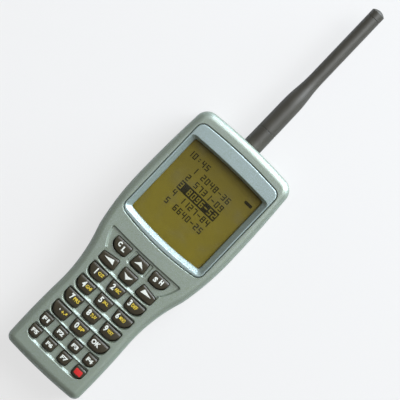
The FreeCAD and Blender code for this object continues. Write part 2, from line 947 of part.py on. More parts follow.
def compartment_block():
    """Walls and roof round the battery, and the block that carries the hinge."""
    half = battery_width / 2 + battery_gap + compartment_wall
    walls = box(-half, half, battery_foot - battery_gap - compartment_wall, compartment_end + compartment_wall,
                0, compartment_top + compartment_roof)
    hinge = box(-half, half, compartment_end, hinge_at + hinge_block_length, 0, hinge_block_height)
    boss = rod(insert_boss_radius, V(0, door_screw_at, 0), V(0, 0, 1), insert_end() + insert_wall)
    return [walls, hinge, boss]


def insert_start():
    """Height at which the threaded insert of the door screw starts."""
    return door_thickness + door_boss_height + 2 * door_gap


def insert_end():
    """Height at which the threaded insert of the door screw ends."""
    return insert_start() + insert_length


def scan_opening(grow, start, end):
    """Block on the outline of the scan window in the end of the head."""
    half = scan_window_width / 2 + grow
    block = box(-half, half, start, end, scan_window_bottom - grow, scan_window_top + grow)
    edges = [e for e in block.Edges
             if abs(e.Vertexes[0].X - e.Vertexes[1].X) < tiny
             and abs(e.Vertexes[0].Z - e.Vertexes[1].Z) < tiny]
    return block.makeFillet(scan_window_corner_radius + grow, edges)


def scan_window_back():
    """Distance of the inner face of the scan window from the foot."""
    crown = head_crown * (scan_window_width / shoulder_width) ** 2
    return body_length - crown - scan_window_sink - scan_window_thickness


def port_nose(grow, start, end):
    """Block on the outline of the data port's nose in the foot, up to the seam."""
    half = port_nose_width / 2 + grow
    return box(-half, half, start, end, port_nose_bottom - grow, port_nose_top + grow)


def rear_housing(form):
    """Rear moulding: shell, battery compartment, hinge block, screw bosses and openings."""
    shell = half_shell(form, -beyond, seam_height)
    inside = outline_block(side_wall / 2).common(side_slab(rear_wall / 2, front_wall))
    additions = [rod(housing_boss_radius, V(x, y, 0), V(0, 0, 1), seam_height)
                 for x, y in housing_screw_places()]
    additions += compartment_block()
    frame = scan_opening(scan_window_lip, scan_window_back() - scan_window_lip, body_length)
    additions.append(frame)
    shell = joined([shell] + [piece.common(inside) for piece in additions])
    doorway = door_outline(door_gap, hinge_at, -beyond, seam_height)
    cuts = [doorway.cut(side_slab(door_thickness + door_gap / 2, 0))]
    half = battery_width / 2 + battery_gap
    cuts.append(box(-half, half, battery_foot - battery_gap, compartment_end, 0, compartment_top))
    for start, end in door_barrel_spans(hinge_end_gap):
        cuts.append(hinge_rod(hinge_barrel_radius + hinge_barrel_gap, start, end))
        cuts.append(box(start, end, hinge_at - hinge_pocket, hinge_at + hinge_pocket, -overcut,
                        hinge_barrel_radius))
    cuts.append(rod(door_boss_radius + door_gap, V(0, door_screw_at, 0), V(0, 0, 1), insert_start()))
    cuts.append(rod(insert_radius, V(0, door_screw_at, 0), V(0, 0, 1), insert_end()))
    for x, y in housing_screw_places():
        cuts.append(rod(housing_screw_radius + screw_fit, V(x, y, 0), V(0, 0, 1), seam_height))
        cuts.append(rod(housing_screw_head_radius + screw_recess_gap, V(x, y, -overcut), V(0, 0, 1),
                        housing_screw_recess + overcut))
    cuts += antenna_seat()
    cuts.append(scan_opening(0, scan_window_back(), body_length + overcut))
    cuts.append(scan_opening(-scan_window_lip, scan_window_back() - 2 * scan_window_lip, body_length))
    cuts.append(port_nose(port_gap, -overcut, side_wall + foot_crown + overcut))
    shell = shell.cut(cuts)
    barrels = [hinge_rod(hinge_barrel_radius, start, end) for start, end in housing_barrel_spans()]
    shell = joined([shell] + barrels)
    half = hinge_pin_length / 2
    return shell.cut(hinge_rod(hinge_pin_radius + hinge_pin_fit, -half, half))


def battery_door():
    """Door with two hinge barrels, a boss for its coin screw and finger grooves."""
    panel = rear_skin(door_outline(0, hinge_at - door_swing_gap, -beyond, seam_height), door_thickness)
    shapes = [panel]
    for start, end in door_barrel_spans(0):
        span = box(start, end, hinge_at - 2 * door_swing_gap, hinge_at, -overcut, seam_height)
        arm = rear_skin(span, door_thickness)
        shapes.append(arm)
        shapes.append(hinge_rod(hinge_barrel_radius, start, end))
    boss = rod(door_boss_radius, V(0, door_screw_at, 0), V(0, 0, 1), door_thickness + door_boss_height)
    shapes.append(boss.common(side_slab(0, 0)))
    door = joined(shapes)
    cuts = [hinge_rod(hinge_pin_radius + hinge_pin_fit, -door_width, door_width)]
    cuts.append(rod(door_screw_radius + door_screw_hole_gap, V(0, door_screw_at, -overcut), V(0, 0, 1),
                    seam_height))
    seat = rear_surface(door_screw_at) + door_screw_sink + door_screw_head
    cuts.append(rod(door_screw_head_radius + door_screw_head_gap, V(0, door_screw_at, -overcut), V(0, 0, 1),
                    seat + overcut))
    return door.cut(cuts + grip_grooves())


def rear_surface(distance):
    """Height of the rear face at a distance from the foot, where it is flat or on the grip arch."""
    reach = (grip_arch_end - grip_arch_start) / 2
    radius = (reach ** 2 + grip_arch_height ** 2) / (4 * grip_arch_height)
    from_crest = abs(distance - grip_arch_start - reach)
    if from_crest >= reach:
        return 0.0
    if from_crest > reach / 2:
        return radius - math.sqrt(radius ** 2 - (reach - from_crest) ** 2)
    return grip_arch_height - radius + math.sqrt(radius ** 2 - from_crest ** 2)


def grip_grooves():
    """Cutters for the finger grooves across the free end of the door."""
    grooves = []
    for number in range(grip_groove_count):
        at = grip_groove_start + number * grip_groove_pitch
        start = V(-grip_groove_length / 2, at, rear_surface(at) - grip_groove_radius + grip_groove_depth)
        grooves.append(rod(grip_groove_radius, start, V(1, 0, 0), grip_groove_length))
    return grooves


def door_screw():
    """Coin screw of the battery door."""
    low = rear_surface(door_screw_at) + door_screw_sink
    head = rod(door_screw_head_radius, V(0, door_screw_at, low), V(0, 0, 1), door_screw_head)
    shank = rod(door_screw_radius, V(0, door_screw_at, low), V(0, 0, 1), door_screw_length)
    slot = box(-door_screw_head_radius, door_screw_head_radius, door_screw_at - coin_slot_width / 2,
               door_screw_at + coin_slot_width / 2, low - overcut, low + coin_slot_depth)
    return joined([head, shank]).cut(slot)


def door_screw_insert():
    """Brass insert that the coin screw turns in."""
    outer = rod(insert_radius, V(0, door_screw_at, insert_start()), V(0, 0, 1), insert_length)
    bore = rod(insert_radius - insert_wall, V(0, door_screw_at, insert_start() - overcut), V(0, 0, 1),
               insert_length)
    return outer.cut(bore)


def door_hinge_pin():
    """Pin of the battery door."""
    return hinge_rod(hinge_pin_radius, -hinge_pin_length / 2, hinge_pin_length / 2)


# Battery

def battery_pack():
    """Battery pack, its long edges rounded."""
    block = box(-battery_width / 2, battery_width / 2, battery_foot, battery_foot + battery_length,
                battery_bottom, battery_top)
    edges = [e for e in block.Edges if abs(e.Vertexes[0].Y - e.Vertexes[1].Y) > tiny]
    return block.makeFillet(battery_corner_radius, edges)


def battery_contact(x):
    """Leaf spring between the compartment wall and the battery."""
    wall = compartment_end
    crest = battery_foot + battery_length + contact_strip / 2
    low = battery_bottom + battery_gap
    high = battery_top - battery_gap
    middle = (low + high) / 2
    base = box(x - contact_width / 2, x + contact_width / 2, wall - contact_strip, wall, low, high)
    outer = Part.Arc(V(0, wall, low), V(0, crest, middle), V(0, wall, high)).toShape()
    inner = Part.Arc(V(0, wall, low + 2 * contact_strip), V(0, crest + contact_strip, middle),
                     V(0, wall, high - 2 * contact_strip)).toShape()
    ends = [Part.LineSegment(V(0, wall, low), V(0, wall, low + 2 * contact_strip)).toShape(),
            Part.LineSegment(V(0, wall, high - 2 * contact_strip), V(0, wall, high)).toShape()]
    leaf = Part.Face(closed_wire([outer, inner] + ends)).extrude(V(contact_width, 0, 0))
    leaf.translate(V(x - contact_width / 2, 0, 0))
    return joined([base, leaf])


def battery_contacts():
    """The leaf springs side by side."""
    middle = (contact_count - 1) / 2
    return Part.makeCompound([battery_contact((number - middle) * contact_pitch)
                              for number in range(contact_count)])


# Board and what it carries

def main_board():
    """Circuit board: narrow in the handle, wide in the head, notched round the foot bosses."""
    handle = rounded_block(board_handle_width, board_foot, board_neck + 2 * board_corner_radius,
                           board_corner_radius, board_height, board_top)
    head = rounded_block(board_head_width, board_neck, board_end, board_corner_radius, board_height,
                         board_top)
    cuts = [rod(housing_boss_radius + board_boss_notch, V(x, y, board_height), V(0, 0, 1), board_thickness)
            for x, y in housing_screw_places()]
    cuts += [rod(board_screw_radius + screw_fit, V(x, y, board_height), V(0, 0, 1), board_thickness)
             for x, y in board_screw_places()]
    return joined([handle, head]).cut(cuts)


def keypad_mat():
    """Rubber mat on the board with a dome under each key."""
    mat_end = key_rows()[0] + mat_end_margin
    sheet = rounded_block(mat_width, mat_foot, mat_end, board_corner_radius, board_top, mat_top)
    domes = []
    for _, row, column in each_key():
        x, y = key_place(row, column)
        domes.append(Part.makeCone(dome_radius, dome_top_radius, dome_height, V(x, y, mat_top), V(0, 0, 1)))
    return joined([sheet] + domes)


def under_board(width, length, height, x, y):
    """Flat package on the underside of the board."""
    low = board_height - height
    return box(x - width / 2, x + width / 2, y - length / 2, y + length / 2, low, board_height)


def memory_chips():
    """Two memory packages side by side."""
    places = [memory_across + side * memory_pitch / 2 for side in (-1, 1)]
    return Part.makeCompound([
        under_board(memory_width, memory_length, memory_thickness, x, memory_at) for x in places
    ])


def round_under_board(radius, height, x, y):
    """Round can on the underside of the board."""
    return rod(radius, V(x, y, board_height - height), V(0, 0, 1), height)


def buzzer():
    """Sounder with a hole in its cap."""
    can = round_under_board(buzzer_radius, buzzer_height, buzzer_across, buzzer_at)
    hole = rod(buzzer_hole_radius, V(buzzer_across, buzzer_at, board_height - buzzer_height), V(0, 0, 1),
               overcut)
    return can.cut(hole)


def hex_socket(flat, start, depth):
    """Six-sided driver recess, its size measured between two opposite sides."""
    radius = flat / math.sqrt(3)
    points = [V(radius * math.cos(math.pi * i / 3), radius * math.sin(math.pi * i / 3), 0) for i in range(7)]
    prism = Part.Face(Part.makePolygon(points)).extrude(V(0, 0, depth))
    prism.translate(start)
    return prism


def housing_screws():
    """Screws through the rear bosses into the front ones."""
    screws = []
    low = housing_screw_recess - housing_screw_head_height
    for x, y in housing_screw_places():
        head = rod(housing_screw_head_radius, V(x, y, low), V(0, 0, 1), housing_screw_head_height)
        end = seam_height + housing_screw_engagement
        shank = rod(housing_screw_radius, V(x, y, low), V(0, 0, 1), end - low)
        recess = hex_socket(socket_flat, V(x, y, low), socket_depth)
        screws.append(joined([head, shank]).cut(recess))
    return Part.makeCompound(screws)


def board_screws():
    """Screws through the board into the posts of the front housing."""
    screws = []
    for x, y in board_screw_places():
        low = board_height - board_screw_head
        head = rod(board_screw_head_radius, V(x, y, low), V(0, 0, 1), board_screw_head)
        shank = rod(board_screw_radius, V(x, y, low), V(0, 0, 1), board_screw_length)
        screws.append(joined([head, shank]))
    return Part.makeCompound(screws)


# Scan engine and data port

def scan_window():
    """Filter window in the end of the head."""
    back = scan_window_back()
    return scan_opening(-scan_window_fit, back, back + scan_window_thickness)


def scan_engine():
    """Scan engine behind its window, with a lens in its face."""
    end = scan_window_back() - 2 * scan_window_lip - scan_engine_gap
    top = scan_window_top + scan_engine_above_window
    block = box(-scan_engine_width / 2, scan_engine_width / 2, end - scan_engine_length, end, rear_wall, top)
    middle = V(scan_lens_across, end - scan_lens_depth, (rear_wall + top) / 2)
    return block.cut(rod(scan_lens_radius, middle, V(0, 1, 0), scan_lens_depth))


def data_port_jack():
    """Socket on the board, its nose in the wall of the foot."""
    start = port_sink
    inner = side_wall + port_gap
    half = port_body_width / 2
    body = box(-half, half, inner, inner + port_body_length, port_nose_bottom, board_height)
    nose = port_nose(0, start, inner)
    socket = box(-port_socket_width / 2, port_socket_width / 2, 0, start + port_socket_depth,
                 port_socket_bottom, port_socket_bottom + port_socket_height)
    return joined([body, nose]).cut(socket)


# Antenna

def antenna_whip():
    """Rubber whip: thick foot, an S-shaped taper, a slim upper part and a domed tip."""
    start = body_length + antenna_base_gap
    end = body_length + antenna_length
    ring = antenna_ring_depth

    def at(radius, distance):
        return V(radius, distance, 0)

    ring_low = body_length + antenna_ring_up
    taper_start = body_length + antenna_taper_start
    taper_end = body_length + antenna_taper_end
    ring_high = end - antenna_ring_down
    dome = end - antenna_dome
    waist = antenna_base_radius - (antenna_base_radius - antenna_lower_radius) / 2
    tip = antenna_tip_radius
    edges = [Part.LineSegment(at(0, start), at(antenna_base_radius, start)).toShape(),
             Part.LineSegment(at(antenna_base_radius, start), at(waist, ring_low - ring)).toShape(),
             Part.LineSegment(at(waist, ring_low - ring), at(waist - ring, ring_low)).toShape(),
             Part.LineSegment(at(waist - ring, ring_low), at(waist, ring_low + ring)).toShape(),
             Part.LineSegment(at(waist, ring_low + ring), at(antenna_lower_radius, taper_start)).toShape()]
    edges += s_curve(at(antenna_lower_radius, taper_start), at(tip, taper_end), V(0, 1, 0))
    edges += [Part.LineSegment(at(tip, taper_end), at(tip, ring_high - ring)).toShape(),
              Part.LineSegment(at(tip, ring_high - ring), at(tip - ring, ring_high)).toShape(),
              Part.LineSegment(at(tip - ring, ring_high), at(tip, ring_high + ring)).toShape(),
              Part.LineSegment(at(tip, ring_high + ring), at(tip, dome)).toShape(),
              tangent_arc(at(0, end), V(1, 0, 0), at(tip, dome)),
              Part.LineSegment(at(0, end), at(0, start)).toShape()]
    whip = Part.Face(closed_wire(edges)).revolve(V(0, 0, 0), V(0, 1, 0), 360)
    whip.translate(V(0, 0, antenna_height))
    whip = Part.Solid(whip) if whip.ShapeType == "Shell" else whip
    return whip.cut(antenna_rod(stud_radius, start - overcut, start + stud_root))


def antenna_stud():
    """Threaded stud moulded into the whip and screwed into the socket."""
    start = body_length - stud_engagement
    return antenna_rod(stud_radius, start, body_length + antenna_base_gap + stud_root)


def antenna_socket_shoulder():
    """Distance of the face of the socket's flange that bears on the end wall."""
    return body_length - side_wall


def antenna_socket_foot():
    """Distance of the rear end of the flange."""
    return antenna_socket_shoulder() - antenna_socket_flange


def antenna_socket():
    """Brass socket held between the two housings, with a flange inside the end wall."""
    neck = antenna_rod(antenna_socket_radius, antenna_socket_foot(), body_length)
    flange = antenna_rod(antenna_socket_flange_radius, antenna_socket_foot(), antenna_socket_shoulder())
    tail_end = body_length - antenna_socket_length
    tail = antenna_rod(antenna_socket_tail_radius, tail_end, antenna_socket_shoulder())
    start = body_length - stud_engagement - stud_fit
    bore = antenna_rod(stud_radius + stud_fit, start, body_length + overcut)
    return joined([neck, flange, tail]).cut(bore)


def antenna_feed_clip():
    """Spring strip from the board to the tail of the antenna socket."""
    end = body_length - antenna_socket_length
    half = feed_width / 2
    pad = box(-half, half, board_end - feed_pad, end, board_height - feed_strip, board_height)
    leg = box(-half, half, end - feed_strip, end, antenna_height - feed_width / 2, board_height)
    return joined([pad, leg])


def save(name, shape):
    """Moves a piece to the common origin and writes it."""
    piece = shape.copy()
    piece.translate(V(0, -overall_length / 2, 0))
    piece.exportStep("parts/" + name + ".step")


def main():
    """Builds every piece and writes it."""
    os.makedirs("parts", exist_ok=True)
    form = envelope()
    pieces = {
        "front_housing": front_housing(form),
        "rear_housing": rear_housing(form),
        "display_bezel": display_bezel(),
        "window_lens": window_lens(),
        "lcd_module": lcd_module(),
        "lcd_backlight": lcd_backlight(),
        "keypad_mat": keypad_mat(),
        "main_board": main_board(),
        "processor": under_board(processor_side, processor_side, processor_thickness, processor_across,
                                 processor_at),
        "memory_chips": memory_chips(),
        "radio_module": under_board(radio_width, radio_length, radio_thickness, radio_across, radio_at),
        "backup_cell": round_under_board(cell_radius, cell_thickness, cell_across, cell_at),
        "buzzer": buzzer(),
        "scan_engine": scan_engine(),
        "scan_window": scan_window(),
        "data_port_jack": data_port_jack(),
        "battery_pack": battery_pack(),
        "battery_contacts": battery_contacts(),
        "battery_door": battery_door(),
        "door_hinge_pin": door_hinge_pin(),
        "door_screw": door_screw(),
        "door_screw_insert": door_screw_insert(),
        "housing_screws": housing_screws(),
        "board_screws": board_screws(),
        "antenna_whip": antenna_whip(),
        "antenna_stud": antenna_stud(),
        "antenna_socket": antenna_socket(),
        "antenna_feed_clip": antenna_feed_clip(),
    }
    for name, row, column in each_key():
        pieces[name] = key(row, column)
    for name, shape in pieces.items():
        save(name, shape)


main()
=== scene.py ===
"""Portable barcode data terminal: finishes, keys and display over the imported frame.

Lengths of pieces and finishes are millimetres in the row frame, which has x to the right, y
towards the antenna and z up from the rear face. Those of the studio are metres.
"""

import logging
import math
from dataclasses import dataclass, field
from enum import Enum
from functools import cache
from typing import Any, Mapping, Sequence, Union

import bpy
import numpy as np
from mathutils import Matrix, Vector


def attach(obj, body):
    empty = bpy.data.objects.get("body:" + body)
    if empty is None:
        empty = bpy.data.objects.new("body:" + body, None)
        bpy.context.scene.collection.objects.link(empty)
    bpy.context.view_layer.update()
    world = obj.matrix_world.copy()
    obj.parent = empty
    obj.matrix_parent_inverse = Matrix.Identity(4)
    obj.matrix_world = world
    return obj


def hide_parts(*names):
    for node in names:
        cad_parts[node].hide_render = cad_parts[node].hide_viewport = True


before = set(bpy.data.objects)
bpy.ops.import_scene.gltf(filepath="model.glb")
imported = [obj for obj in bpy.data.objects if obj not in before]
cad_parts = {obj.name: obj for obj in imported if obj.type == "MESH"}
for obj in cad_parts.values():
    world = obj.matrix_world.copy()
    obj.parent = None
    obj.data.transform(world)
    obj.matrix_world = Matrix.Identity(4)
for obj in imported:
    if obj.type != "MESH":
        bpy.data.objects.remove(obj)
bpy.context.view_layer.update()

log = logging.getLogger("terminal")

MM = 0.001
Colour = tuple[float, float, float]
Number = Union[float, "Value"]


def srgb(red: int, green: int, blue: int) -> Colour:
    """Linear colour of a colour given in screen steps from 0 to 255.

    Args:
        red: Red step.
        green: Green step.
        blue: Blue step.

    Returns:
        The three linear values.
    """
    steps = np.array([red, green, blue]) / 255
    low = steps / 12.92
    high = ((steps + 0.055) / 1.055) ** 2.4
    return tuple(float(v) for v in np.where(steps <= 0.04045, low, high))


# Shader arithmetic


class Value:
    """An output socket whose numbers can be added, multiplied and so on."""

    def __init__(self, graph: "Graph", socket: bpy.types.NodeSocket) -> None:
        """Keeps the node tree and the socket."""
        self.graph = graph
        self.socket = socket

    def _math(self, operation: str, *operands: Number) -> "Value":
        """One Math node on the operands."""
        settings = {"operation": operation}
        return self.graph.value("ShaderNodeMath", settings, dict(enumerate(operands)))

    def __add__(self, other: Number) -> "Value":
        """Sum."""
        return self._math("ADD", self, other)

    def __radd__(self, other: Number) -> "Value":
        """Sum, reflected."""
        return self._math("ADD", other, self)

    def __sub__(self, other: Number) -> "Value":
        """Difference."""
        return self._math("SUBTRACT", self, other)

    def __rsub__(self, other: Number) -> "Value":
        """Difference, reflected."""
        return self._math("SUBTRACT", other, self)

    def __mul__(self, other: Number) -> "Value":
        """Product."""
        return self._math("MULTIPLY", self, other)

    def __rmul__(self, other: Number) -> "Value":
        """Product, reflected."""
        return self._math("MULTIPLY", other, self)

    def __truediv__(self, other: Number) -> "Value":
        """Quotient."""
        return self._math("DIVIDE", self, other)

    def __rtruediv__(self, other: Number) -> "Value":
        """Quotient, reflected."""
        return self._math("DIVIDE", other, self)

    def fraction(self) -> "Value":
        """What is left after the whole part."""
        return self._math("FRACT", self)

    def size(self) -> "Value":
        """The value without its sign."""
        return self._math("ABSOLUTE", self)

    def ramp(self, start: float, end: float) -> "Value":
        """A straight ramp from 0 at start to 1 at end, held outside them."""
        inputs = {"Value": self, "From Min": start, "From Max": end}
        return self.graph.value("ShaderNodeMapRange", {"clamp": True}, inputs)


class Graph:
    """The node tree of one material."""

    def __init__(self, name: str) -> None:
        """Makes the material with an empty tree and its output.

        Args:
            name: Name of the material.
        """
        self.material = bpy.data.materials.new(name)
        self.material.use_nodes = True
        self.tree = self.material.node_tree
        self.tree.nodes.clear()
        self.output = self.node("ShaderNodeOutputMaterial")

    def node(self, kind: str, settings: Mapping[str, Any] | None = None,
             inputs: Mapping[Any, Any] | None = None) -> bpy.types.Node:
        """Adds a node.

        Args:
            kind: The node's type.
            settings: Its properties, which are set first.
            inputs: Names or numbers of its sockets, with the value or the link of each.

        Returns:
            The node.
        """
        node = self.tree.nodes.new(kind)
        for name, setting in (settings or {}).items():
            setattr(node, name, setting)
        for name, given in (inputs or {}).items():
            source = given.socket if isinstance(given, Value) else given
            if isinstance(source, bpy.types.NodeSocket):
                self.tree.links.new(source, node.inputs[name])
            else:
                node.inputs[name].default_value = given
        return node

    def value(self, kind: str, settings: Mapping[str, Any] | None = None,
              inputs: Mapping[Any, Any] | None = None, output: Any = 0) -> Value:
        """Adds a node and wraps one of its outputs, which is given by name or number."""
        return Value(self, self.node(kind, settings, inputs).outputs[output])

    def place(self) -> Value:
        """Place on the piece, in metres of the row frame."""
        return self.value("ShaderNodeTexCoord", output="Object")

    def stretched(self, scale: Colour) -> Value:
        """Place on the piece with each direction multiplied by its own number."""
        settings = {"operation": "MULTIPLY"}
        return self.value("ShaderNodeVectorMath", settings, {0: self.place(), 1: scale})

    def axes(self) -> tuple[Value, Value, Value]:
        """Place on the piece as three separate values."""
        parts = self.node("ShaderNodeSeparateXYZ", None, {0: self.place()})
        return tuple(Value(self, parts.outputs[i]) for i in range(3))

    def noise(self, grain: float, detail: float = 2.0, along: Value | None = None) -> Value:
        """Random pattern from 0 to 1 in patches of grain millimetres, read at a place."""
        inputs = {"Vector": along or self.place(), "Scale": 1 / (grain * MM), "Detail": detail}
        return self.value("ShaderNodeTexNoise", None, inputs)

    def cells(self, pitch: float) -> Value:
        """Distance to the nearest of scattered points that lie about pitch millimetres apart."""
        inputs = {"Vector": self.place(), "Scale": 1 / (pitch * MM)}
        return self.value("ShaderNodeTexVoronoi", None, inputs)

    def mix(self, factor: Number, first: Any, second: Any) -> Value:
        """Colour between two colours, the first where the factor is 0."""
        inputs = {0: factor, 6: opaque(first), 7: opaque(second)}
        return self.value("ShaderNodeMix", {"data_type": "RGBA"}, inputs, 2)

    def rounded(self, radius: float) -> Value:
        """Normal of a surface whose edges look rounded off, with a radius in millimetres."""
        return self.value("ShaderNodeBevel", {"samples": 8}, {"Radius": radius * MM})

    def bump(self, height: Value, depth: float, strength: float,
             under: Value | None = None) -> Value:
        """Normal of a surface raised by a height pattern.

        Args:
            height: Pattern from 0 to 1.
            depth: Height of the pattern in millimetres.
            strength: Share of the effect.
            under: Normal of the surface below the pattern, if it isn't the mesh's own.

        Returns:
            The normal.
        """
        inputs = {"Height": height, "Distance": depth * MM, "Strength": strength}
        if under:
            inputs["Normal"] = under
        return self.value("ShaderNodeBump", None, inputs)

    def shader(self, **inputs: Any) -> bpy.types.Node:
        """A Principled shader. In the names of its inputs, _ stands for a space."""
        named = {name.replace("_", " "): opaque(given) for name, given in inputs.items()}
        return self.node("ShaderNodeBsdfPrincipled", None, named)

    def blend(self, factor: Number, first: bpy.types.Node,
              second: bpy.types.Node) -> bpy.types.Node:
        """A shader between two shaders, the first where the factor is 0."""
        shaders = {1: first.outputs[0], 2: second.outputs[0]}
        return self.node("ShaderNodeMixShader", None, {0: factor, **shaders})

    def finish(self, shader: bpy.types.Node) -> bpy.types.Material:
        """The material, with a shader linked to its output."""
        self.tree.links.new(shader.outputs[0], self.output.inputs[0])
        return self.material

    def surface(self, **inputs: Any) -> bpy.types.Material:
        """The material, with one Principled shader that has these inputs."""
        return self.finish(self.shader(**inputs))


def opaque(given: Any) -> Any:
    """A plain colour with its fourth value; anything else as it is."""
    if isinstance(given, tuple) and len(given) == 3:
        return (*given, 1.0)
    return given


# Finishes


@dataclass(frozen=True)
class Finish:
    """What every finish has: the name of its material and its main colour."""

    name: str
    colour: Colour

    def tone(self, factor: float) -> Colour:
        """The main colour, made darker or lighter."""
        return tuple(factor * c for c in self.colour)


@dataclass(frozen=True)
class SparkPaint(Finish):
    """Satin paint with fine metal flake over moulded plastic."""

    flake_colour: Colour
    metallic: float = 0.25
    flake_metallic: float = 0.7
    roughness: float = 0.5
    coat: float = 0.5
    coat_roughness: float = 0.42
    drift: float = 38.0
    flake: float = 0.16
    grain: float = 0.45
    edge: float = 0.9

    def build(self) -> bpy.types.Material:
        """Metal flakes in points, a fine grain, and edges that shine as if slightly rounded.

        Returns:
            The material.
        """
        graph = Graph(self.name)
        drift = graph.noise(self.drift, 1.0).ramp(0.3, 0.7)
        flake = graph.noise(self.flake, 0.0).ramp(0.44, 0.6)
        grain = graph.noise(self.grain)
        base = graph.mix(drift, self.tone(0.95), self.tone(1.05))
        return graph.surface(
            Base_Color=graph.mix(flake, base, self.flake_colour),
            Metallic=self.metallic + flake * self.flake_metallic,
            Roughness=self.roughness + (grain - 0.5) * 0.16 - flake * 0.04,
            Normal=graph.bump(grain, 0.006, 0.35, graph.rounded(self.edge)),
            IOR=1.5,
            Coat_Weight=self.coat,
            Coat_Roughness=self.coat_roughness,
        )


@dataclass(frozen=True)
class MouldedPlastic(Finish):
    """Plain moulded plastic with a fine spark-eroded grain."""

    roughness: float = 0.45
    grain: float = 0.5
    depth: float = 0.008
    drift: float = 24.0

    def build(self) -> bpy.types.Material:
        """Grain in the bump and the roughness, and a slow drift of the colour.

        Returns:
            The material.
        """
        graph = Graph(self.name)
        grain = graph.noise(self.grain, 3.0)
        drift = graph.noise(self.drift, 1.0).ramp(0.3, 0.7)
        return graph.surface(
            Base_Color=graph.mix(drift, self.tone(0.9), self.colour),
            Roughness=self.roughness + (grain - 0.5) * 0.2,
            Normal=graph.bump(grain, self.depth, 0.5),
            IOR=1.5,
        )


@dataclass(frozen=True)
class KeyPlastic(Finish):
    """Dark key plastic, its crown polished by fingers."""

    side_top: float = 33.9
    crown: float = 34.7
    smear: float = 3.2
    grain: float = 0.3

    def build(self) -> bpy.types.Material:
        """Roughness falls from the sides to the crown, with a faint smear over it.

        Returns:
            The material.
        """
        graph = Graph(self.name)
        polish = graph.axes()[2].ramp(self.side_top * MM, self.crown * MM)
        smear = graph.noise(self.smear, 3.0).ramp(0.35, 0.75)
        return graph.surface(
            Base_Color=graph.mix(smear * 0.35, self.colour, self.tone(1.6)),
            Roughness=0.44 - polish * 0.14 + smear * 0.1,
            Normal=graph.bump(graph.noise(self.grain), 0.004, 0.4),
            IOR=1.5,
        )


@dataclass(frozen=True)
class Ink(Finish):
    """Printed or moulded legend, a little worn."""

    worn: Colour
    roughness: float = 0.5
    patch: float = 0.5

    def build(self) -> bpy.types.Material:
        """Small patches of the legend are thin and show what is under it.

        Returns:
            The material.
        """
        graph = Graph(self.name)
        wear = graph.noise(self.patch, 3.0).ramp(0.58, 0.8)
        return graph.surface(
            Base_Color=graph.mix(wear * 0.5, self.colour, self.worn),
            Roughness=self.roughness + wear * 0.2,
        )


@dataclass(frozen=True)
class MouldedRubber(Finish):
    """Rubber of the antenna sleeve or the keypad mat, paler where it is handled."""

    roughness: float = 0.6
    run: Colour = (1.0, 1.0, 1.0)
    ior: float = 1.48
    patch: float = 9.0
    grain: float = 0.7

    def build(self) -> bpy.types.Material:
        """A dusty bloom in patches, and a grain that may run one way.

        Returns:
            The material.
        """
        graph = Graph(self.name)
        bloom = graph.noise(self.patch, 4.0).ramp(0.4, 0.8)
        grain = graph.noise(self.grain, 3.0, graph.stretched(self.run))
        return graph.surface(
            Base_Color=graph.mix(bloom * 0.4, self.colour, self.tone(1.7)),
            Roughness=self.roughness + (grain - 0.5) * 0.2 + bloom * 0.06,
            Normal=graph.bump(grain, 0.02, 0.4),
            IOR=self.ior,
        )


@dataclass(frozen=True)
class Metal(Finish):
    """Turned, plated or stamped metal with fine lines along one way."""

    roughness: float = 0.28
    run: Colour = (1.0, 1.0, 0.06)
    line: float = 0.12
    patch: float = 2.5

    def build(self) -> bpy.types.Material:
        """Lines in the roughness and the bump, and a slight tarnish in patches.

        Returns:
            The material.
        """
        graph = Graph(self.name)
        lines = graph.noise(self.line, 2.0, graph.stretched(self.run))
        tarnish = graph.noise(self.patch, 3.0).ramp(0.45, 0.85)
        return graph.surface(
            Base_Color=graph.mix(tarnish * 0.4, self.colour, self.tone(0.6)),
            Metallic=1.0,
            Roughness=self.roughness + (lines - 0.5) * 0.2 + tarnish * 0.12,
            Normal=graph.bump(lines, 0.003, 0.4),
        )


@dataclass(frozen=True)
class BoardLacquer(Finish):
    """Circuit board: green lacquer over copper tracks, with tinned pads."""

    track: Colour
    pad: Colour
    pitch: float = 1.6
    step: float = 14.0
    pad_pitch: float = 4.2
    weave: float = 3.0

    def build(self) -> bpy.types.Material:
        """Tracks are narrow bands along y that shift with a coarse pattern, and pads are dots.

        Returns:
            The material.
        """
        graph = Graph(self.name)
        across, along, _ = graph.axes()
        step = graph.noise(self.step, 0.0).ramp(0.46, 0.54) * 0.5
        band = (across / (self.pitch * MM) + step).fraction()
        tracks = (band - 0.5).size().ramp(0.24, 0.18)
        pads = graph.cells(self.pad_pitch).ramp(0.16, 0.12)
        weave = (along / (self.weave * MM)).fraction()
        lacquered = graph.mix(tracks * 0.6, self.colour, self.track)
        return graph.surface(
            Base_Color=graph.mix(pads, lacquered, self.pad),
            Metallic=pads * 0.9,
            Roughness=0.3 + pads * 0.1 + weave * 0.02,
            Normal=graph.bump(tracks, 0.03, 0.6),
        )


@dataclass(frozen=True)
class ClearWindow(Finish):
    """Clear or tinted plastic window with a few smudges. Its colour tints what lies behind."""

    body: Colour
    cover: float = 0.1
    smudge: float = 11.0

    def build(self) -> bpy.types.Material:
        """A thin glossy layer over what lies behind, thicker where it is smudged.

        Returns:
            The material.
        """
        graph = Graph(self.name)
        smudge = graph.noise(self.smudge, 4.0).ramp(0.5, 0.8)
        glossy = graph.shader(
            Base_Color=graph.mix(smudge * 0.3, self.body, (0.5, 0.5, 0.45)),
            Roughness=0.05 + smudge * 0.12,
            IOR=1.49,
            Specular_IOR_Level=0.7,
        )
        clear = graph.node("ShaderNodeBsdfTransparent", None, {0: opaque(self.colour)})
        return graph.finish(graph.blend(self.cover + smudge * 0.05, clear, glossy))


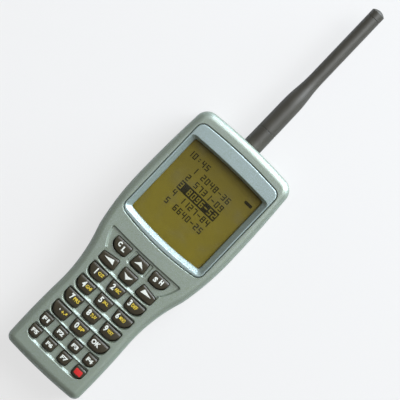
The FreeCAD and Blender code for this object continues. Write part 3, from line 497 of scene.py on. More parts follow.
@dataclass(frozen=True)
class DotDisplay(Finish):
    """Reflective liquid-crystal display: a fine grid of dots on an olive ground, with a painted
    shadow towards the antenna side.
    """

    # Colour of the painted shadow towards the antenna side, also used for the random clouds.
    shade: Colour
    pitch: float = 0.36
    # The painted shadow grows from bottom to top, in millimetres along y.
    top: float = 17.0
    bottom: float = -42.0
    cloud: float = 21.0

    def build(self) -> bpy.types.Material:
        """A painted shadow darkens the ground towards the antenna side, random clouds darken it in
        patches, and thin lines part the dots.

        Returns:
            The material.
        """
        graph = Graph(self.name)
        across, along, _ = graph.axes()
        edges = [((axis / (self.pitch * MM)).fraction() - 0.5).size().ramp(0.4, 0.47)
                 for axis in (across, along)]
        lines = 1 - (1 - edges[0]) * (1 - edges[1])
        # Painted shadow: the ground darkens towards the antenna side, as if the window's upper wall
        # shaded it.
        painted_shadow = along.ramp(self.bottom * MM, self.top * MM)
        cloud = graph.noise(self.cloud).ramp(0.3, 0.75)
        ground = graph.mix(painted_shadow * 0.55 + cloud * 0.2, self.colour, self.shade)
        return graph.surface(
            Base_Color=graph.mix(lines * 0.14, ground, self.tone(1.35)),
            Roughness=0.42 - cloud * 0.06,
            Specular_IOR_Level=0.4,
        )


@dataclass(frozen=True)
class BatteryWrap(Finish):
    """Black battery case with a band of fine ribs round it."""

    rib: float = 1.8
    scuff: float = 1.4

    def build(self) -> bpy.types.Material:
        """Ribs are a repeating wave along y, in the bump only.

        Returns:
            The material.
        """
        graph = Graph(self.name)
        ribs = ((graph.axes()[1] / (self.rib * MM)).fraction() - 0.5).size() * 2
        scuff = graph.noise(self.scuff, 4.0).ramp(0.5, 0.8)
        return graph.surface(
            Base_Color=graph.mix(scuff * 0.4, self.colour, self.tone(2.2)),
            Roughness=0.5 + scuff * 0.15,
            Normal=graph.bump(ribs, 0.12, 0.5),
        )


@dataclass(frozen=True)
class FloorPaper(Finish):
    """Pale paper sweep that keeps the shadow and can't be seen from below."""

    glow: float = 0.7
    fibre: float = 1.2

    def build(self) -> bpy.types.Material:
        """Diffuse paper, lifted towards white for the camera, and clear from its underside.

        Returns:
            The material.
        """
        graph = Graph(self.name)
        colour = graph.mix(graph.noise(self.fibre, 3.0), self.tone(0.99), self.colour)
        paper = graph.node("ShaderNodeBsdfDiffuse", None, {"Color": colour})
        white = graph.node("ShaderNodeEmission", None, {"Color": (1.0, 1.0, 1.0, 1.0)})
        clear = graph.node("ShaderNodeBsdfTransparent")
        seen = graph.value("ShaderNodeLightPath", output="Is Camera Ray")
        behind = graph.value("ShaderNodeNewGeometry", output="Backfacing")
        lifted = graph.blend(seen * self.glow, paper, white)
        return graph.finish(graph.blend(behind, lifted, clear))


class Shade(Enum):
    """The finishes of the terminal."""

    HOUSING = SparkPaint("housing_paint", srgb(134, 145, 118), srgb(184, 194, 192))
    BEZEL = SparkPaint("bezel_paint", srgb(143, 159, 146), srgb(192, 206, 212), grain=0.38)
    KEY = KeyPlastic("key_plastic", srgb(57, 51, 37))
    WHITE_INK = Ink("white_ink", srgb(232, 234, 224), srgb(120, 116, 100))
    YELLOW_INK = Ink("yellow_ink", srgb(236, 206, 66), srgb(170, 140, 50))
    RED_INK = Ink("red_ink", srgb(214, 40, 38), srgb(170, 34, 32))
    # The display's second colour is a painted shadow towards the antenna side, and the colour of
    # its random clouds.
    DISPLAY = DotDisplay("display_ground", srgb(154, 137, 54), srgb(124, 110, 66))
    DISPLAY_DOT = Ink("display_dot", srgb(40, 34, 20), srgb(52, 44, 26), 0.35)
    WINDOW = ClearWindow("window_plastic", (0.96, 0.96, 0.88), srgb(20, 20, 14))
    SCAN_FILTER = ClearWindow("scan_filter", (0.42, 0.02, 0.02), srgb(60, 6, 8), 0.45)
    LIGHT_GUIDE = MouldedPlastic("light_guide_plastic", srgb(226, 230, 214), 0.35)
    MAT = MouldedRubber("mat_rubber", srgb(120, 122, 118), 0.7)
    BOARD = BoardLacquer("board_lacquer", srgb(20, 92, 56), srgb(34, 128, 78),
                         srgb(206, 200, 186))
    CHIP = MouldedPlastic("chip_plastic", srgb(34, 34, 36), 0.55, 0.25)
    SHIELD = Metal("shield_plate", srgb(196, 198, 200), 0.34, (1.0, 0.05, 1.0))
    ENGINE = MouldedPlastic("engine_plastic", srgb(30, 30, 32), 0.4, 0.3)
    JACK = MouldedPlastic("jack_plastic", srgb(36, 36, 36), 0.5, 0.3)
    BATTERY = BatteryWrap("battery_wrap", srgb(32, 33, 35))
    GOLD = Metal("contact_plating", srgb(220, 180, 96), 0.22)
    STEEL = Metal("pin_steel", srgb(186, 188, 190), 0.25, (0.06, 1.0, 1.0))
    SCREW = Metal("screw_plating", srgb(172, 174, 176), 0.3)
    BRASS = Metal("turned_brass", srgb(206, 168, 92), 0.26)
    ANTENNA = MouldedRubber("antenna_rubber", srgb(46, 41, 26), 0.5, (1.0, 0.15, 1.0), 1.95)


@cache
def material(shade: Shade) -> bpy.types.Material:
    """The material of a finish, made on its first use."""
    return shade.value.build()


# Surfaces


@dataclass
class Surface:
    """Points, faces as rows of point numbers, and one finish.

    All rows have three numbers or four, and four whose last two are equal are a triangle.
    """

    points: np.ndarray
    faces: np.ndarray
    shade: Shade
    smooth: bool = True

    def moved(self, x: float, y: float) -> "Surface":
        """The same surface, shifted on the face."""
        return Surface(self.points + np.array([x, y, 0.0]), self.faces, self.shade, self.smooth)


def loft(rings: np.ndarray, shade: Shade) -> Surface:
    """Closed skin over a stack of rings that have equal numbers of points.

    Point (i, j) is point j of ring i. Each four-sided face joins points j and j + 1 of rings i
    and i + 1, and the first and last rings close on their middles.

    Args:
        rings: Array of ring, point, coordinate, from the lowest ring to the highest.
        shade: Finish of the skin.

    Returns:
        The skin, facing outwards when the rings turn left seen from above.
    """
    count, around, _ = rings.shape
    lower, j = np.meshgrid(np.arange(count - 1), np.arange(around), indexing="ij")
    following = (j + 1) % around
    quads = np.stack([lower * around + j, lower * around + following,
                      (lower + 1) * around + following, (lower + 1) * around + j], axis=-1)
    middles = np.stack([rings[0].mean(axis=0), rings[-1].mean(axis=0)])
    points = np.concatenate([rings.reshape(-1, 3), middles])
    ring = np.arange(around)
    turned = (ring + 1) % around
    foot = np.full(around, count * around)
    head = foot + 1
    top = (count - 1) * around
    lower_cap = np.stack([foot, turned, ring, ring], axis=-1)
    upper_cap = np.stack([head, top + ring, top + turned, top + turned], axis=-1)
    faces = np.concatenate([quads.reshape(-1, 4), lower_cap, upper_cap])
    return Surface(points, faces, shade)


def new_object(name: str, data: bpy.types.ID) -> bpy.types.Object:
    """Makes an object and links it to the scene.

    Args:
        name: Its name.
        data: Its mesh, lamp or camera.

    Returns:
        The object.
    """
    made = bpy.data.objects.new(name, data)
    bpy.context.scene.collection.objects.link(made)
    return made


def make_object(name: str, surfaces: Sequence[Surface]) -> bpy.types.Object:
    """One object from surfaces, each with its own finish.

    Args:
        name: Name of the piece.
        surfaces: What it is made of.

    Returns:
        The object, in the row frame.
    """
    shades = list(dict.fromkeys(surface.shade for surface in surfaces))
    starts = np.cumsum([0] + [len(surface.points) for surface in surfaces])
    points = np.concatenate([surface.points for surface in surfaces]) * MM
    groups: list[np.ndarray] = []
    slots: list[np.ndarray] = []
    smooth: list[np.ndarray] = []
    for start, surface in zip(starts, surfaces):
        three = surface.faces[:, 2] == surface.faces[:, -1]
        for group in (surface.faces[~three], surface.faces[three][:, :3]):
            groups.append(group + start)
            slots.append(np.full(len(group), shades.index(surface.shade)))
            smooth.append(np.full(len(group), surface.smooth))
    sizes = np.concatenate([np.full(len(group), group.shape[1]) for group in groups])
    corners = np.concatenate([group.ravel() for group in groups])
    mesh = bpy.data.meshes.new(name)
    mesh.vertices.add(len(points))
    mesh.vertices.foreach_set("co", points.ravel())
    mesh.loops.add(len(corners))
    mesh.loops.foreach_set("vertex_index", corners)
    mesh.polygons.add(len(sizes))
    mesh.polygons.foreach_set("loop_start", np.concatenate([[0], np.cumsum(sizes)[:-1]]))
    mesh.polygons.foreach_set("loop_total", sizes)
    mesh.polygons.foreach_set("material_index", np.concatenate(slots))
    mesh.polygons.foreach_set("use_smooth", np.concatenate(smooth))
    for shade in shades:
        mesh.materials.append(material(shade))
    mesh.update(calc_edges=True)
    mesh.validate()
    log.info("%s: %d faces", name, len(mesh.polygons))
    return new_object(name, mesh)


# Outlines of four sides


@dataclass(frozen=True)
class Outline:
    """Four corners, from the lower left round to the upper left, with a radius at each.

    bow is how far the lower side swells outwards.
    """

    corners: tuple[tuple[float, float], ...]
    radii: tuple[float, ...]
    bow: float = 0.0
    corner_points: int = 9
    side_points: int = 8
    least_radius: float = 0.15

    def arcs(self, grow: float) -> np.ndarray:
        """Points on the four rounded corners.

        The middle of an arc lies on the line that halves its corner, at the radius divided by the
        sine of half the corner, and its points turn through equal angles.

        Args:
            grow: How far the outline is grown on every side.

        Returns:
            Array of corner, point, x and y, turning left.
        """
        corners = np.array(self.corners, float)
        before = unit(np.roll(corners, 1, axis=0) - corners)
        after = unit(np.roll(corners, -1, axis=0) - corners)
        half_angle = np.arccos(np.clip((before * after).sum(axis=1), -1, 1)) / 2
        inwards = unit(before + after)
        reach = 1 / np.sin(half_angle)
        corners = corners - inwards * (grow * reach)[:, None]
        radii = np.maximum(np.array(self.radii) + grow, self.least_radius)
        middles = corners + inwards * (radii * reach)[:, None]
        turn = math.pi - 2 * half_angle
        outwards = np.arctan2(-inwards[:, 1], -inwards[:, 0])
        share = np.linspace(-0.5, 0.5, self.corner_points)
        angles = outwards[:, None] + turn[:, None] * share[None, :]
        arcs = np.stack([np.cos(angles), np.sin(angles)], axis=-1) * radii[:, None, None]
        return middles[:, None, :] + arcs

    def ring(self, grow: float) -> np.ndarray:
        """Points round the outline: the arcs and evenly spaced points between them.

        Each point goes down by bow times 1 less the square of x over the half width, times the
        cube of its share of the way from the highest point to the lowest.

        Args:
            grow: How far the outline is grown on every side.

        Returns:
            Array of point, x and y, turning left.
        """
        arcs = self.arcs(grow)
        ends = np.roll(arcs[:, 0], -1, axis=0)
        share = np.linspace(0, 1, self.side_points)[1:-1]
        sides = arcs[:, -1:, :] + (ends - arcs[:, -1])[:, None, :] * share[None, :, None]
        points = np.concatenate([arcs, sides], axis=1).reshape(-1, 2)
        low, high = points[:, 1].min(), points[:, 1].max()
        weight = (high - points[:, 1]) / (high - low)
        wide = np.clip(1 - (points[:, 0] / np.abs(points[:, 0]).max()) ** 2, 0, 1)
        points[:, 1] -= self.bow * weight ** 3 * wide
        return points


def unit(vectors: np.ndarray) -> np.ndarray:
    """Vectors of length one along the given ones."""
    return vectors / np.linalg.norm(vectors, axis=-1, keepdims=True)


def ring_at(outline: np.ndarray, height: Union[float, np.ndarray]) -> np.ndarray:
    """A flat ring lifted to a height, or to one height for each point."""
    heights = np.broadcast_to(height, outline.shape[:1])
    return np.concatenate([outline, heights[:, None]], axis=1)


# Lettering and signs


@dataclass(frozen=True)
class Lettering:
    """A kind of lettering, with a width of its own or, at 0, a share of the font's width."""

    height: float
    width: float = 0.0
    bold: float = 0.04
    shade: Shade = Shade.WHITE_INK
    narrow: float = 0.82

    def surface(self, text: str, x: float, y: float) -> Surface:
        """Flat letters: the font's outlines scaled to their height and width.

        Args:
            text: The letters.
            x: Middle of their box across.
            y: Middle of their box along.

        Returns:
            The letters as triangles at height 0.
        """
        curve = bpy.data.curves.new("letters", "FONT")
        curve.body = text
        curve.offset = self.bold
        curve.resolution_u = 3
        holder = bpy.data.objects.new("letters", curve)
        mesh = bpy.data.meshes.new_from_object(holder)
        points = np.zeros(len(mesh.vertices) * 3)
        mesh.vertices.foreach_get("co", points)
        mesh.calc_loop_triangles()
        faces = np.zeros(len(mesh.loop_triangles) * 3, int)
        mesh.loop_triangles.foreach_get("vertices", faces)
        points, faces = points.reshape(-1, 3), faces.reshape(-1, 3)
        bpy.data.objects.remove(holder)
        bpy.data.curves.remove(curve)
        bpy.data.meshes.remove(mesh)
        low, high = points.min(axis=0), points.max(axis=0)
        along = self.height / (high[1] - low[1])
        across = self.width / (high[0] - low[0]) if self.width else along * self.narrow
        points = (points - (low + high) / 2) * np.array([across, along, 0.0])
        points += np.array([x, y, 0.0])
        return Surface(points, upward(points, faces), self.shade, False)


def upward(points: np.ndarray, faces: np.ndarray) -> np.ndarray:
    """Triangles turned so that each faces up: the cross product of two sides is positive.

    Args:
        points: Points of the triangles.
        faces: Rows of three point numbers.

    Returns:
        The rows, some of them reversed.
    """
    a, b, c = (points[faces[:, i]] for i in range(3))
    lean = (b[:, 0] - a[:, 0]) * (c[:, 1] - a[:, 1]) - (b[:, 1] - a[:, 1]) * (c[:, 0] - a[:, 0])
    return np.where((lean < 0)[:, None], faces[:, ::-1], faces)


def finer(surface: Surface) -> Surface:
    """The same flat triangles, each cut into four at the middles of its sides.

    Args:
        surface: A surface of triangles.

    Returns:
        The finer surface.
    """
    corners = [surface.points[surface.faces[:, i]] for i in range(3)]
    middles = [(corners[i] + corners[(i + 1) % 3]) / 2 for i in range(3)]
    a, b, c, ab, bc, ca = np.arange(6)[:, None] * len(surface.faces) + np.arange(len(surface.faces))
    faces = np.concatenate([np.stack(row, axis=-1) for row in
                            ((a, ab, ca), (ab, b, bc), (ca, bc, c), (ab, bc, ca))])
    return Surface(np.concatenate(corners + middles), faces, surface.shade, surface.smooth)


def filled(outline: np.ndarray, shade: Shade) -> Surface:
    """Flat face inside an outline that its middle sees whole, as triangles that meet there.

    Args:
        outline: Points round it, turning left.
        shade: Its finish.

    Returns:
        The face at height 0.
    """
    around = np.arange(len(outline))
    middle = np.full(len(outline), len(outline))
    points = np.concatenate([outline, outline.mean(axis=0, keepdims=True)])
    faces = np.stack([middle, around, (around + 1) % len(outline)], axis=-1)
    return Surface(ring_at(points, 0.0), faces, shade, False)


def grid_of_dots(lit: np.ndarray, pitch: float, x: float, y: float, shade: Shade,
                 fill: float = 0.96) -> Surface:
    """Squares for the lit dots of a pattern.

    The dot in row i and column j has its middle at x + pitch j and y - pitch i.

    Args:
        lit: Rows of true and false.
        pitch: Distance between dots.
        x: Place of the first column.
        y: Place of the first row.
        shade: Finish of the dots.
        fill: Width of a dot as a share of the pitch.

    Returns:
        One square for each lit dot, at height 0.
    """
    rows, columns = np.nonzero(lit)
    middles = np.stack([x + pitch * columns, y - pitch * rows], axis=-1)
    half = pitch * fill / 2
    square = np.array([[-half, -half], [half, -half], [half, half], [-half, half]])
    points = (middles[:, None, :] + square[None, :, :]).reshape(-1, 2)
    faces = np.arange(len(points)).reshape(-1, 4)
    return Surface(ring_at(points, 0.0), faces, shade, False)


# Keypad


class KeyKind(Enum):
    """Places of a key that give it its own outline."""

    OUTER = "outer"
    ARROW_ROW = "arrow_row"
    CENTRE = "centre"
    CENTRE_TOP = "centre_top"
    FUNCTION = "function"


class Sign(Enum):
    """Signs that are drawn and not lettered."""

    UP = "up"
    LEFT = "left"
    DOWN = "down"
    RIGHT = "right"
    POWER = "power"


@dataclass(frozen=True)
class KeyCap:
    """One key: its node, its place and what is printed on it.

    side is -1 at the left end of a row, 1 at the right end and 0 between them.
    """

    name: str
    kind: KeyKind
    side: int
    x: float
    y: float
    main: str | Sign
    small: str = ""


@dataclass
class Keypad:
    """The twenty-six hard keys."""

    column_pitch: float = 16.2
    row_pitch: float = 11.25
    top_row: float = -65.2
    function_row_gap: float = 10.3
    function_column_pitch: float = 12.8
    outer_width: float = 13.2
    centre_width: float = 11.6
    centre_taper: float = 0.9
    function_width: float = 8.2
    function_taper: float = 0.4
    height: float = 7.7
    function_height: float = 7.0
    bow: float = 0.4
    corner: float = 1.2
    sweep: float = 6.2
    function_sweep: float = 2.9
    arrow_drop: float = 1.9
    top: float = 34.86
    shoulder: float = 0.75
    inset: float = 0.75
    upper_bevel: float = 0.8
    crown: float = 0.25
    flange: float = 0.9
    flange_low: float = 29.6
    flange_high: float = 30.8
    stem_radius: float = 2.0
    stem_foot: float = 27.5
    ink_rise: float = 0.03
    shoulder_shares: tuple[float, ...] = (0.15, 0.4, 0.7, 1.0)
    crown_shares: tuple[float, ...] = (0.92, 0.75, 0.5, 0.25, 0.06)
    legend_shift: float = 1.4
    digit: Lettering = Lettering(4.3)
    point: Lettering = Lettering(1.1)
    digit_place: tuple[float, float] = (-2.4, 0.4)
    letters: Lettering = Lettering(2.4, 4.4, 0.02, Shade.YELLOW_INK)
    letters_place: tuple[float, float] = (1.5, 0.35)
    function: Lettering = Lettering(2.8, 4.8, 0.05)
    function_rise: float = -0.1
    soft: Lettering = Lettering(3.4, 2.4, 0.06)
    soft_pitch: float = 4.2
    soft_climb: float = 1.1
    soft_shift: float = 0.2
    enter: Lettering = Lettering(3.4, 6.4, 0.05)
    enter_shift: float = -0.4
    word_rise: float = 0.3
    power_patch: Outline = Outline(((-2.7, -2.3), (2.7, -2.3), (2.5, 1.5), (-2.9, 1.5)), (0.7,) * 4)
    arrow_half: float = 3.7
    arrow_rise: float = 3.3
    arrow_notch: float = 0.7
    arrow_shift: float = 0.3
    wedge_length: float = 8.0
    wedge_rise: float = 3.2
    wedge_lean: float = 1.3
    wedge_middle: float = 0.3
    wedge_tip: float = -0.1

    def caps(self) -> list[KeyCap]:
        """Every key, row by row from the antenna side.

        Returns:
            The keys with their places and legends.
        """
        wide = [
            ("soft_left", "CL"), ("up", Sign.UP), ("soft_right", "SH"),
            ("left", Sign.LEFT), ("down", Sign.DOWN), ("right", Sign.RIGHT),
            ("1", "1", "QZ"), ("2", "2", "ABC"), ("3", "3", "DEF"),
            ("4", "4", "GHI"), ("5", "5", "JKL"), ("6", "6", "MNO"),
            ("7", "7", "PRS"), ("8", "8", "TUV"), ("9", "9", "WXY"),
            ("point", ".", "+-*"), ("0", "0", "SP"), ("enter", "OK"),
        ]
        caps = []
        for number, (name, *printed) in enumerate(wide):
            row, column = divmod(number, 3)
            side = column - 1
            if side:
                kind = KeyKind.ARROW_ROW if row == 1 else KeyKind.OUTER
            else:
                kind = KeyKind.CENTRE if row else KeyKind.CENTRE_TOP
            caps.append(KeyCap(f"key_{name}", kind, side, side * self.column_pitch,
                               self.top_row - row * self.row_pitch, *printed))
        lowest = caps[-1].y
        small = [(f"f{number}", f"F{number}") for number in range(1, 8)]
        for number, (name, main) in enumerate(small + [("power", Sign.POWER)]):
            row, column = divmod(number, 4)
            side = {0: -1, 3: 1}.get(column, 0)
            caps.append(KeyCap(f"key_{name}", KeyKind.FUNCTION, side,
                               (column - 1.5) * self.function_column_pitch,
                               lowest - (row + 1) * self.function_row_gap, main))
        return caps

    def outline(self, cap: KeyCap) -> Outline:
        """Outline of a key about its own middle.

        Args:
            cap: The key.

        Returns:
            Its four corners and radii.
        """
        rise = self.height / 2
        if cap.kind is KeyKind.FUNCTION:
            upper, rise = self.function_width / 2, self.function_height / 2
            lower = upper - self.function_taper
            swept = self.function_sweep
        elif cap.kind in (KeyKind.CENTRE, KeyKind.CENTRE_TOP):
            upper = lower = self.centre_width / 2
            swept = self.corner
            if cap.kind is KeyKind.CENTRE:
                lower -= self.centre_taper
            else:
                upper -= self.centre_taper
        else:
            return self.outer_outline(cap, rise)
        corners = ((-lower, -rise), (lower, -rise), (upper, rise), (-upper, rise))
        radii = (swept if cap.side < 0 else self.corner, swept if cap.side > 0 else self.corner,
                 self.corner, self.corner)
        return Outline(corners, radii, self.bow)

    def outer_outline(self, cap: KeyCap, rise: float) -> Outline:
        """Outline of a key at the left or the right of a wide row.

        Args:
            cap: The key.
            rise: Half its height.

        Returns:
            Its four corners and radii. The outer lower corner is swept, or in the row of the
            arrows the outer upper corner lies lower.
        """
        half = self.outer_width / 2
        arrow = cap.kind is KeyKind.ARROW_ROW
        drop = self.arrow_drop if arrow else 0.0
        lower = half if arrow else half - self.centre_taper
        upper = half - self.centre_taper if arrow else half
        swept = self.corner if arrow else self.sweep
        corners = [(-half, -rise), (lower, -rise), (upper, rise), (-half, rise - drop)]
        radii = [swept, self.corner, self.corner, self.corner]
        if cap.side > 0:
            corners = [(-corners[i][0], corners[i][1]) for i in (1, 0, 3, 2)]
            radii = [radii[i] for i in (1, 0, 3, 2)]
        return Outline(tuple(corners), tuple(radii), self.bow)

    def crown_height(self, cap: KeyCap, x: np.ndarray, y: np.ndarray) -> np.ndarray:
        """Height at x and y: the top less crown times the sum of their squares over half sizes."""
        wide = self.function_width if cap.kind is KeyKind.FUNCTION else self.outer_width
        return self.top - self.crown * ((2 * x / wide) ** 2 + (2 * y / self.height) ** 2)

    def body(self, cap: KeyCap) -> Surface:
        """Skin of a key: stem, flange, shank, rounded shoulder and crown, one ring above another.

        The shoulder's rings go in by inset times 1 - cos a and up by shoulder times sin a, for
        angles a up to 90 degrees. Above the key's middle they also lean towards the foot, by
        upper_bevel times 1 - cos a times the square of y over the half height. The crown's rings
        shrink towards the middle of the key.

        Args:
            cap: The key.

        Returns:
            The skin about the key's own middle.
        """
        outline = self.outline(cap)
        edge = outline.ring(0.0)
        around = np.arctan2(edge[:, 1], edge[:, 0])
        stem = np.stack([np.cos(around), np.sin(around)], axis=-1) * self.stem_radius
        rings = [
            ring_at(stem, self.stem_foot),
            ring_at(stem, self.flange_low),
            ring_at(outline.ring(self.flange), self.flange_low),
            ring_at(outline.ring(self.flange), self.flange_high),
            ring_at(edge, self.flange_high),
            ring_at(edge, self.top - self.shoulder - self.crown),
        ]
        last = edge
        for share in self.shoulder_shares:
            angle = share * math.pi / 2
            inset = self.inset * (1 - math.cos(angle))
            last = outline.ring(-inset)
            upper = np.clip(last[:, 1] / (self.height / 2), 0, 1)
            last[:, 1] -= self.upper_bevel * upper ** 2 * (1 - math.cos(angle))
            height = self.crown_height(cap, last[:, 0], last[:, 1])
            rings.append(ring_at(last, height - self.shoulder * (1 - math.sin(angle))))
        for share in self.crown_shares:
            inner = last * share
            rings.append(ring_at(inner, self.crown_height(cap, inner[:, 0], inner[:, 1])))
        return loft(np.stack(rings), Shade.KEY)

    def legend(self, cap: KeyCap) -> list[Surface]:
        """What is printed on a key, laid on its crown.

        Args:
            cap: The key.

        Returns:
            The printed faces about the key's own middle.
        """
        shift = -self.legend_shift * cap.side
        if isinstance(cap.main, Sign):
            flat = [self.sign(cap.main)]
        elif cap.small:
            digit = self.point if cap.main == "." else self.digit
            flat = [digit.surface(cap.main, shift + self.digit_place[0], self.digit_place[1]),
                    self.letters.surface(cap.small, shift + self.letters_place[0],
                                         self.letters_place[1])]
        elif cap.kind is KeyKind.FUNCTION:
            flat = [self.function.surface(cap.main, 0.0, self.function_rise)]
        elif cap.name.startswith("key_soft"):
            flat = [self.soft.surface(letter, side * self.soft_pitch - cap.side * self.soft_shift,
                                      side * cap.side * self.soft_climb + self.word_rise)
                    for side, letter in zip((-0.5, 0.5), cap.main)]
        else:
            flat = [self.enter.surface(cap.main, shift + self.enter_shift, self.word_rise)]
        laid = [finer(finer(surface)) for surface in flat]
        for surface in laid:
            height = self.crown_height(cap, surface.points[:, 0], surface.points[:, 1])
            surface.points[:, 2] = height + self.ink_rise
        return laid

    def sign(self, sign: Sign) -> Surface:
        """A red patch, a flat arrowhead with a notch (up, down) or a long wedge (left, right).

        Args:
            sign: What it stands for.

        Returns:
            The face at height 0.
        """
        if sign is Sign.POWER:
            return filled(self.power_patch.arcs(0.0).reshape(-1, 2), Shade.RED_INK)
        if sign in (Sign.UP, Sign.DOWN):
            foot = -self.arrow_rise / 2
            corners = [(-self.arrow_half, foot), (0.0, foot + self.arrow_notch),
                       (self.arrow_half, foot), (0.0, -foot)]
            turned = 1.0 if sign is Sign.UP else -1.0
            shift = self.arrow_shift * (turned - 1)
            return filled(np.array(corners) * turned + np.array([0.0, shift]), Shade.WHITE_INK)
        half = self.wedge_length / 2
        low = self.wedge_middle - self.wedge_rise / 2
        corners = np.array([(-half, self.wedge_tip), (half, low),
                            (half - self.wedge_lean, low + self.wedge_rise)])
        if sign is Sign.RIGHT:
            corners = corners[::-1] * np.array([-1.0, 1.0])
        return filled(corners, Shade.WHITE_INK)

    def build(self) -> None:
        """Makes every key and puts it on its body."""
        for cap in self.caps():
            surfaces = [s.moved(cap.x, cap.y) for s in [self.body(cap)] + self.legend(cap)]
            piece = make_object(cap.name.replace("key_", "cap_"), surfaces)
            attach(piece, f"{cap.name}_cap")
            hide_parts(cap.name)


# Display


@dataclass
class Display:
    """The face of the display under its window."""

    width: float = 59.2
    bottom: float = -41.8
    top: float = 17.6
    corner: float = 1.6
    ground_height: float = 28.84
    ink_rise: float = 0.03
    pitch: float = 0.36
    row_pitch: float = 6.5
    title_row: float = 12.1
    title_left: float = -26.8
    list_left: float = -17.2
    charge_left: float = 21.0
    charge_drop: float = 1.2
    edge_gap: float = 0.3
    rows: tuple[str, ...] = ("1 2048-36", "2 5731-09", "3 8096-52", "4 1127-84", "5 6640-25")
    title: str = "10:45"
    chosen: int = 2

    def glyph(self, sign: str) -> np.ndarray:
        """Dots of one sign, seven wide and twelve high, drawn from seven strokes.

        A digit lights those of the seven strokes that a segment display lights, a dash lights the
        middle one, a colon lights two small blocks and a space none.

        Args:
            sign: A digit, a dash, a colon or a space.

        Returns:
            Rows of true and false.
        """
        lit = np.zeros((12, 7), bool)
        if sign == ":":
            lit[3:5, 2:5] = True
            lit[7:9, 2:5] = True
            return lit
        strokes = {
            "0": "abcdef", "1": "bc", "2": "abged", "3": "abgcd", "4": "fgbc", "5": "afgcd",
            "6": "afgedc", "7": "abc", "8": "abcdefg", "9": "abcdfg", "-": "g", " ": "",
        }[sign]
        places = {
            "a": (slice(0, 2), slice(0, 7)), "b": (slice(0, 6), slice(5, 7)),
            "c": (slice(6, 12), slice(5, 7)), "d": (slice(10, 12), slice(0, 7)),
            "e": (slice(6, 12), slice(0, 2)), "f": (slice(0, 6), slice(0, 2)),
            "g": (slice(5, 7), slice(0, 7)),
        }
        for stroke in strokes:
            lit[places[stroke]] = True
        return lit

    def line(self, text: str, x: float, y: float, inverse: bool) -> Surface:
        """One line of signs.

        Args:
            text: The signs.
            x: Left edge.
            y: Upper edge.
            inverse: True if the ground is lit and the signs aren't.

        Returns:
            The lit dots at height 0.
        """
        spaced = [np.pad(self.glyph(sign), ((3, 3), (1, 2))) for sign in text]
        dots = np.concatenate(spaced, axis=1)
        return grid_of_dots(dots != inverse, self.pitch, x, y, Shade.DISPLAY_DOT)

    def charge(self) -> Surface:
        """The sign for the charge: a solid bar with a small end.

        Returns:
            The lit dots at height 0.
        """
        lit = np.ones((6, 17), bool)
        lit[[0, 0, 5, 5], [0, 1, 0, 1]] = False
        return grid_of_dots(lit, self.pitch, self.charge_left,
                            self.title_row - self.charge_drop, Shade.DISPLAY_DOT)

    def build(self) -> None:
        """Makes the face with its lines and puts it on the housing."""
        half = self.width / 2
        outline = Outline(((-half, self.bottom), (half, self.bottom), (half, self.top),
                           (-half, self.top)), (self.corner,) * 4)
        ground = filled(outline.ring(-self.edge_gap), Shade.DISPLAY)
        ground.points[:, 2] = self.ground_height
        lines = [self.line(self.title, self.title_left, self.title_row, False), self.charge()]
        for number, text in enumerate(self.rows):
            y = self.title_row - (number + 1) * self.row_pitch
            lines.append(self.line(text, self.list_left, y, number == self.chosen))
        for surface in lines:
            surface.points[:, 2] = self.ground_height + self.ink_rise
        piece = make_object("display_face", [ground] + lines)
        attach(piece, "housing")


# Carried-over pieces


@dataclass(frozen=True)
class FramePieces:
    """Finishes of the pieces that come from the frame as they are."""

    shades: Mapping[Shade, tuple[str, ...]] = field(default_factory=lambda: {
        Shade.HOUSING: ("front_housing", "rear_housing", "battery_door"),
        Shade.BEZEL: ("display_bezel",),
        Shade.WINDOW: ("window_lens",),
        Shade.SCAN_FILTER: ("scan_window",),
        Shade.DISPLAY: ("lcd_module",),
        Shade.LIGHT_GUIDE: ("lcd_backlight",),
        Shade.MAT: ("keypad_mat",),
        Shade.BOARD: ("main_board",),
        Shade.CHIP: ("processor", "memory_chips"),
        Shade.SHIELD: ("radio_module", "backup_cell"),
        Shade.ENGINE: ("scan_engine", "buzzer"),
        Shade.JACK: ("data_port_jack",),
        Shade.BATTERY: ("battery_pack",),
        Shade.GOLD: ("battery_contacts", "antenna_feed_clip"),
        Shade.STEEL: ("door_hinge_pin",),
        Shade.SCREW: ("door_screw", "housing_screws", "board_screws"),
        Shade.BRASS: ("door_screw_insert", "antenna_stud", "antenna_socket"),
        Shade.ANTENNA: ("antenna_whip",),
    })

    def dress(self) -> None:
        """Gives every listed node its material in each of its material places."""
        for shade, names in self.shades.items():
            for name in names:
                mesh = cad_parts[name].data
                if not mesh.materials:
                    mesh.materials.append(material(shade))
                for number in range(len(mesh.materials)):
                    mesh.materials[number] = material(shade)
                log.info("%s: %s", name, shade.name.lower())


# Studio


@dataclass(frozen=True)
class Lamp:
    """An oblong soft light that points at the middle of the picture."""

    name: str
    place: tuple[float, float, float]
    size: tuple[float, float]
    power: float
    colour: Colour

    def build(self, target: Vector) -> None:
        """Makes the lamp.

        Args:
            target: Point that it faces.
        """
        data = bpy.data.lights.new(self.name, "AREA")
        data.shape = "RECTANGLE"
        data.size, data.size_y = self.size
        data.energy = self.power
        data.color = self.colour
        lamp = new_object(self.name, data)
        lamp.location = self.place
        lamp.rotation_euler = (target - lamp.location).to_track_quat("-Z", "Y").to_euler()


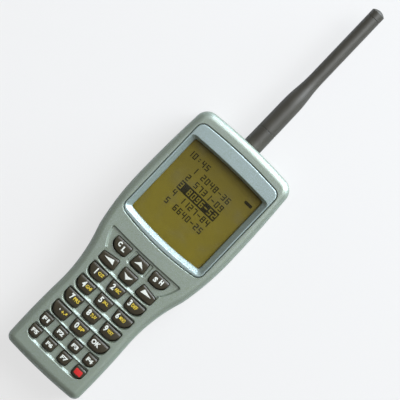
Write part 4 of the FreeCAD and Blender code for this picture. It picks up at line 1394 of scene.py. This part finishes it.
@dataclass
class Studio:
    """Floor, surroundings, lamps and the camera at the photograph's angle."""

    middle: tuple[float, float, float] = (-0.0005, -0.0091, 0.03)
    turn: float = 43.6
    distance: float = 1.6
    view_width: float = 0.256
    floor_side: float = 3.0
    world_level: float = 0.19
    backdrop_level: float = 0.86

    def lamps(self) -> list[Lamp]:
        """Three cool lights beyond the antenna, one above the other, and a weak fill at the left.

        Returns:
            The lamps.
        """
        return [
            Lamp("cool_high", (0.85, 1.5, 2.24), (1.8, 1.4), 52.0, (0.96, 0.98, 1.0)),
            Lamp("cool_middle", (0.5, 1.5, 1.12), (1.5, 0.35), 20.0, (0.8, 0.9, 1.0)),
            Lamp("cool_low", (0.55, 1.4, 0.33), (1.4, 0.62), 36.0, (0.74, 0.86, 1.0)),
            Lamp("fill_left", (-1.3, -0.2, 0.7), (0.8, 0.6), 0.4, (1.0, 0.98, 0.95)),
        ]

    def build(self) -> None:
        """Makes the floor, the world, the lamps and the camera."""
        scene = bpy.context.scene
        scene.view_settings.view_transform = "Standard"
        self.make_floor()
        scene.world = self.make_world()
        target = Vector(self.middle)
        for lamp in self.lamps():
            lamp.build(target)
        self.make_camera(target)

    def make_world(self) -> bpy.types.World:
        """White surroundings that light the part weakly and look pale behind it.

        Returns:
            The world.
        """
        world = bpy.data.worlds.new("studio")
        world.use_nodes = True
        tree = world.node_tree
        background = tree.nodes["Background"]
        background.inputs[0].default_value = (1.0, 1.0, 1.0, 1.0)
        seen = tree.nodes.new("ShaderNodeLightPath").outputs["Is Camera Ray"]
        level = tree.nodes.new("ShaderNodeMapRange")
        level.inputs["To Min"].default_value = self.world_level
        level.inputs["To Max"].default_value = self.backdrop_level
        tree.links.new(seen, level.inputs["Value"])
        tree.links.new(level.outputs[0], background.inputs[1])
        return world

    def make_floor(self) -> None:
        """A square on the ground that the part lies on."""
        half = self.floor_side / 2
        mesh = bpy.data.meshes.new("floor")
        mesh.from_pydata([(-half, -half, 0), (half, -half, 0), (half, half, 0), (-half, half, 0)],
                         [], [(0, 1, 2, 3)])
        mesh.materials.append(FloorPaper("floor_paper", (0.6, 0.6, 0.6)).build())
        new_object("floor", mesh)

    def make_camera(self, target: Vector) -> None:
        """A long lens straight above the part, turned so that the part leans to the right.

        Args:
            target: Middle of the picture.
        """
        data = bpy.data.cameras.new("camera")
        data.sensor_width = 36.0
        data.lens = data.sensor_width * self.distance / self.view_width
        camera = new_object("camera", data)
        angle = math.radians(self.turn)
        right = Vector((math.cos(angle), math.sin(angle), 0.0))
        up = Vector((-math.sin(angle), math.cos(angle), 0.0))
        back = right.cross(up)
        turned = Matrix((right, up, back)).transposed()
        camera.matrix_world = Matrix.Translation(target + back * self.distance) @ turned.to_4x4()
        bpy.context.scene.camera = camera


def write_sizes() -> None:
    """Brings the placements of all objects up to date."""
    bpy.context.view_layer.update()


def main() -> None:
    """Builds the terminal and its studio."""
    logging.basicConfig(level=logging.INFO, format="%(name)s: %(message)s")
    FramePieces().dress()
    Keypad().build()
    Display().build()
    Studio().build()
    write_sizes()


if __name__ == "__main__":
    main()
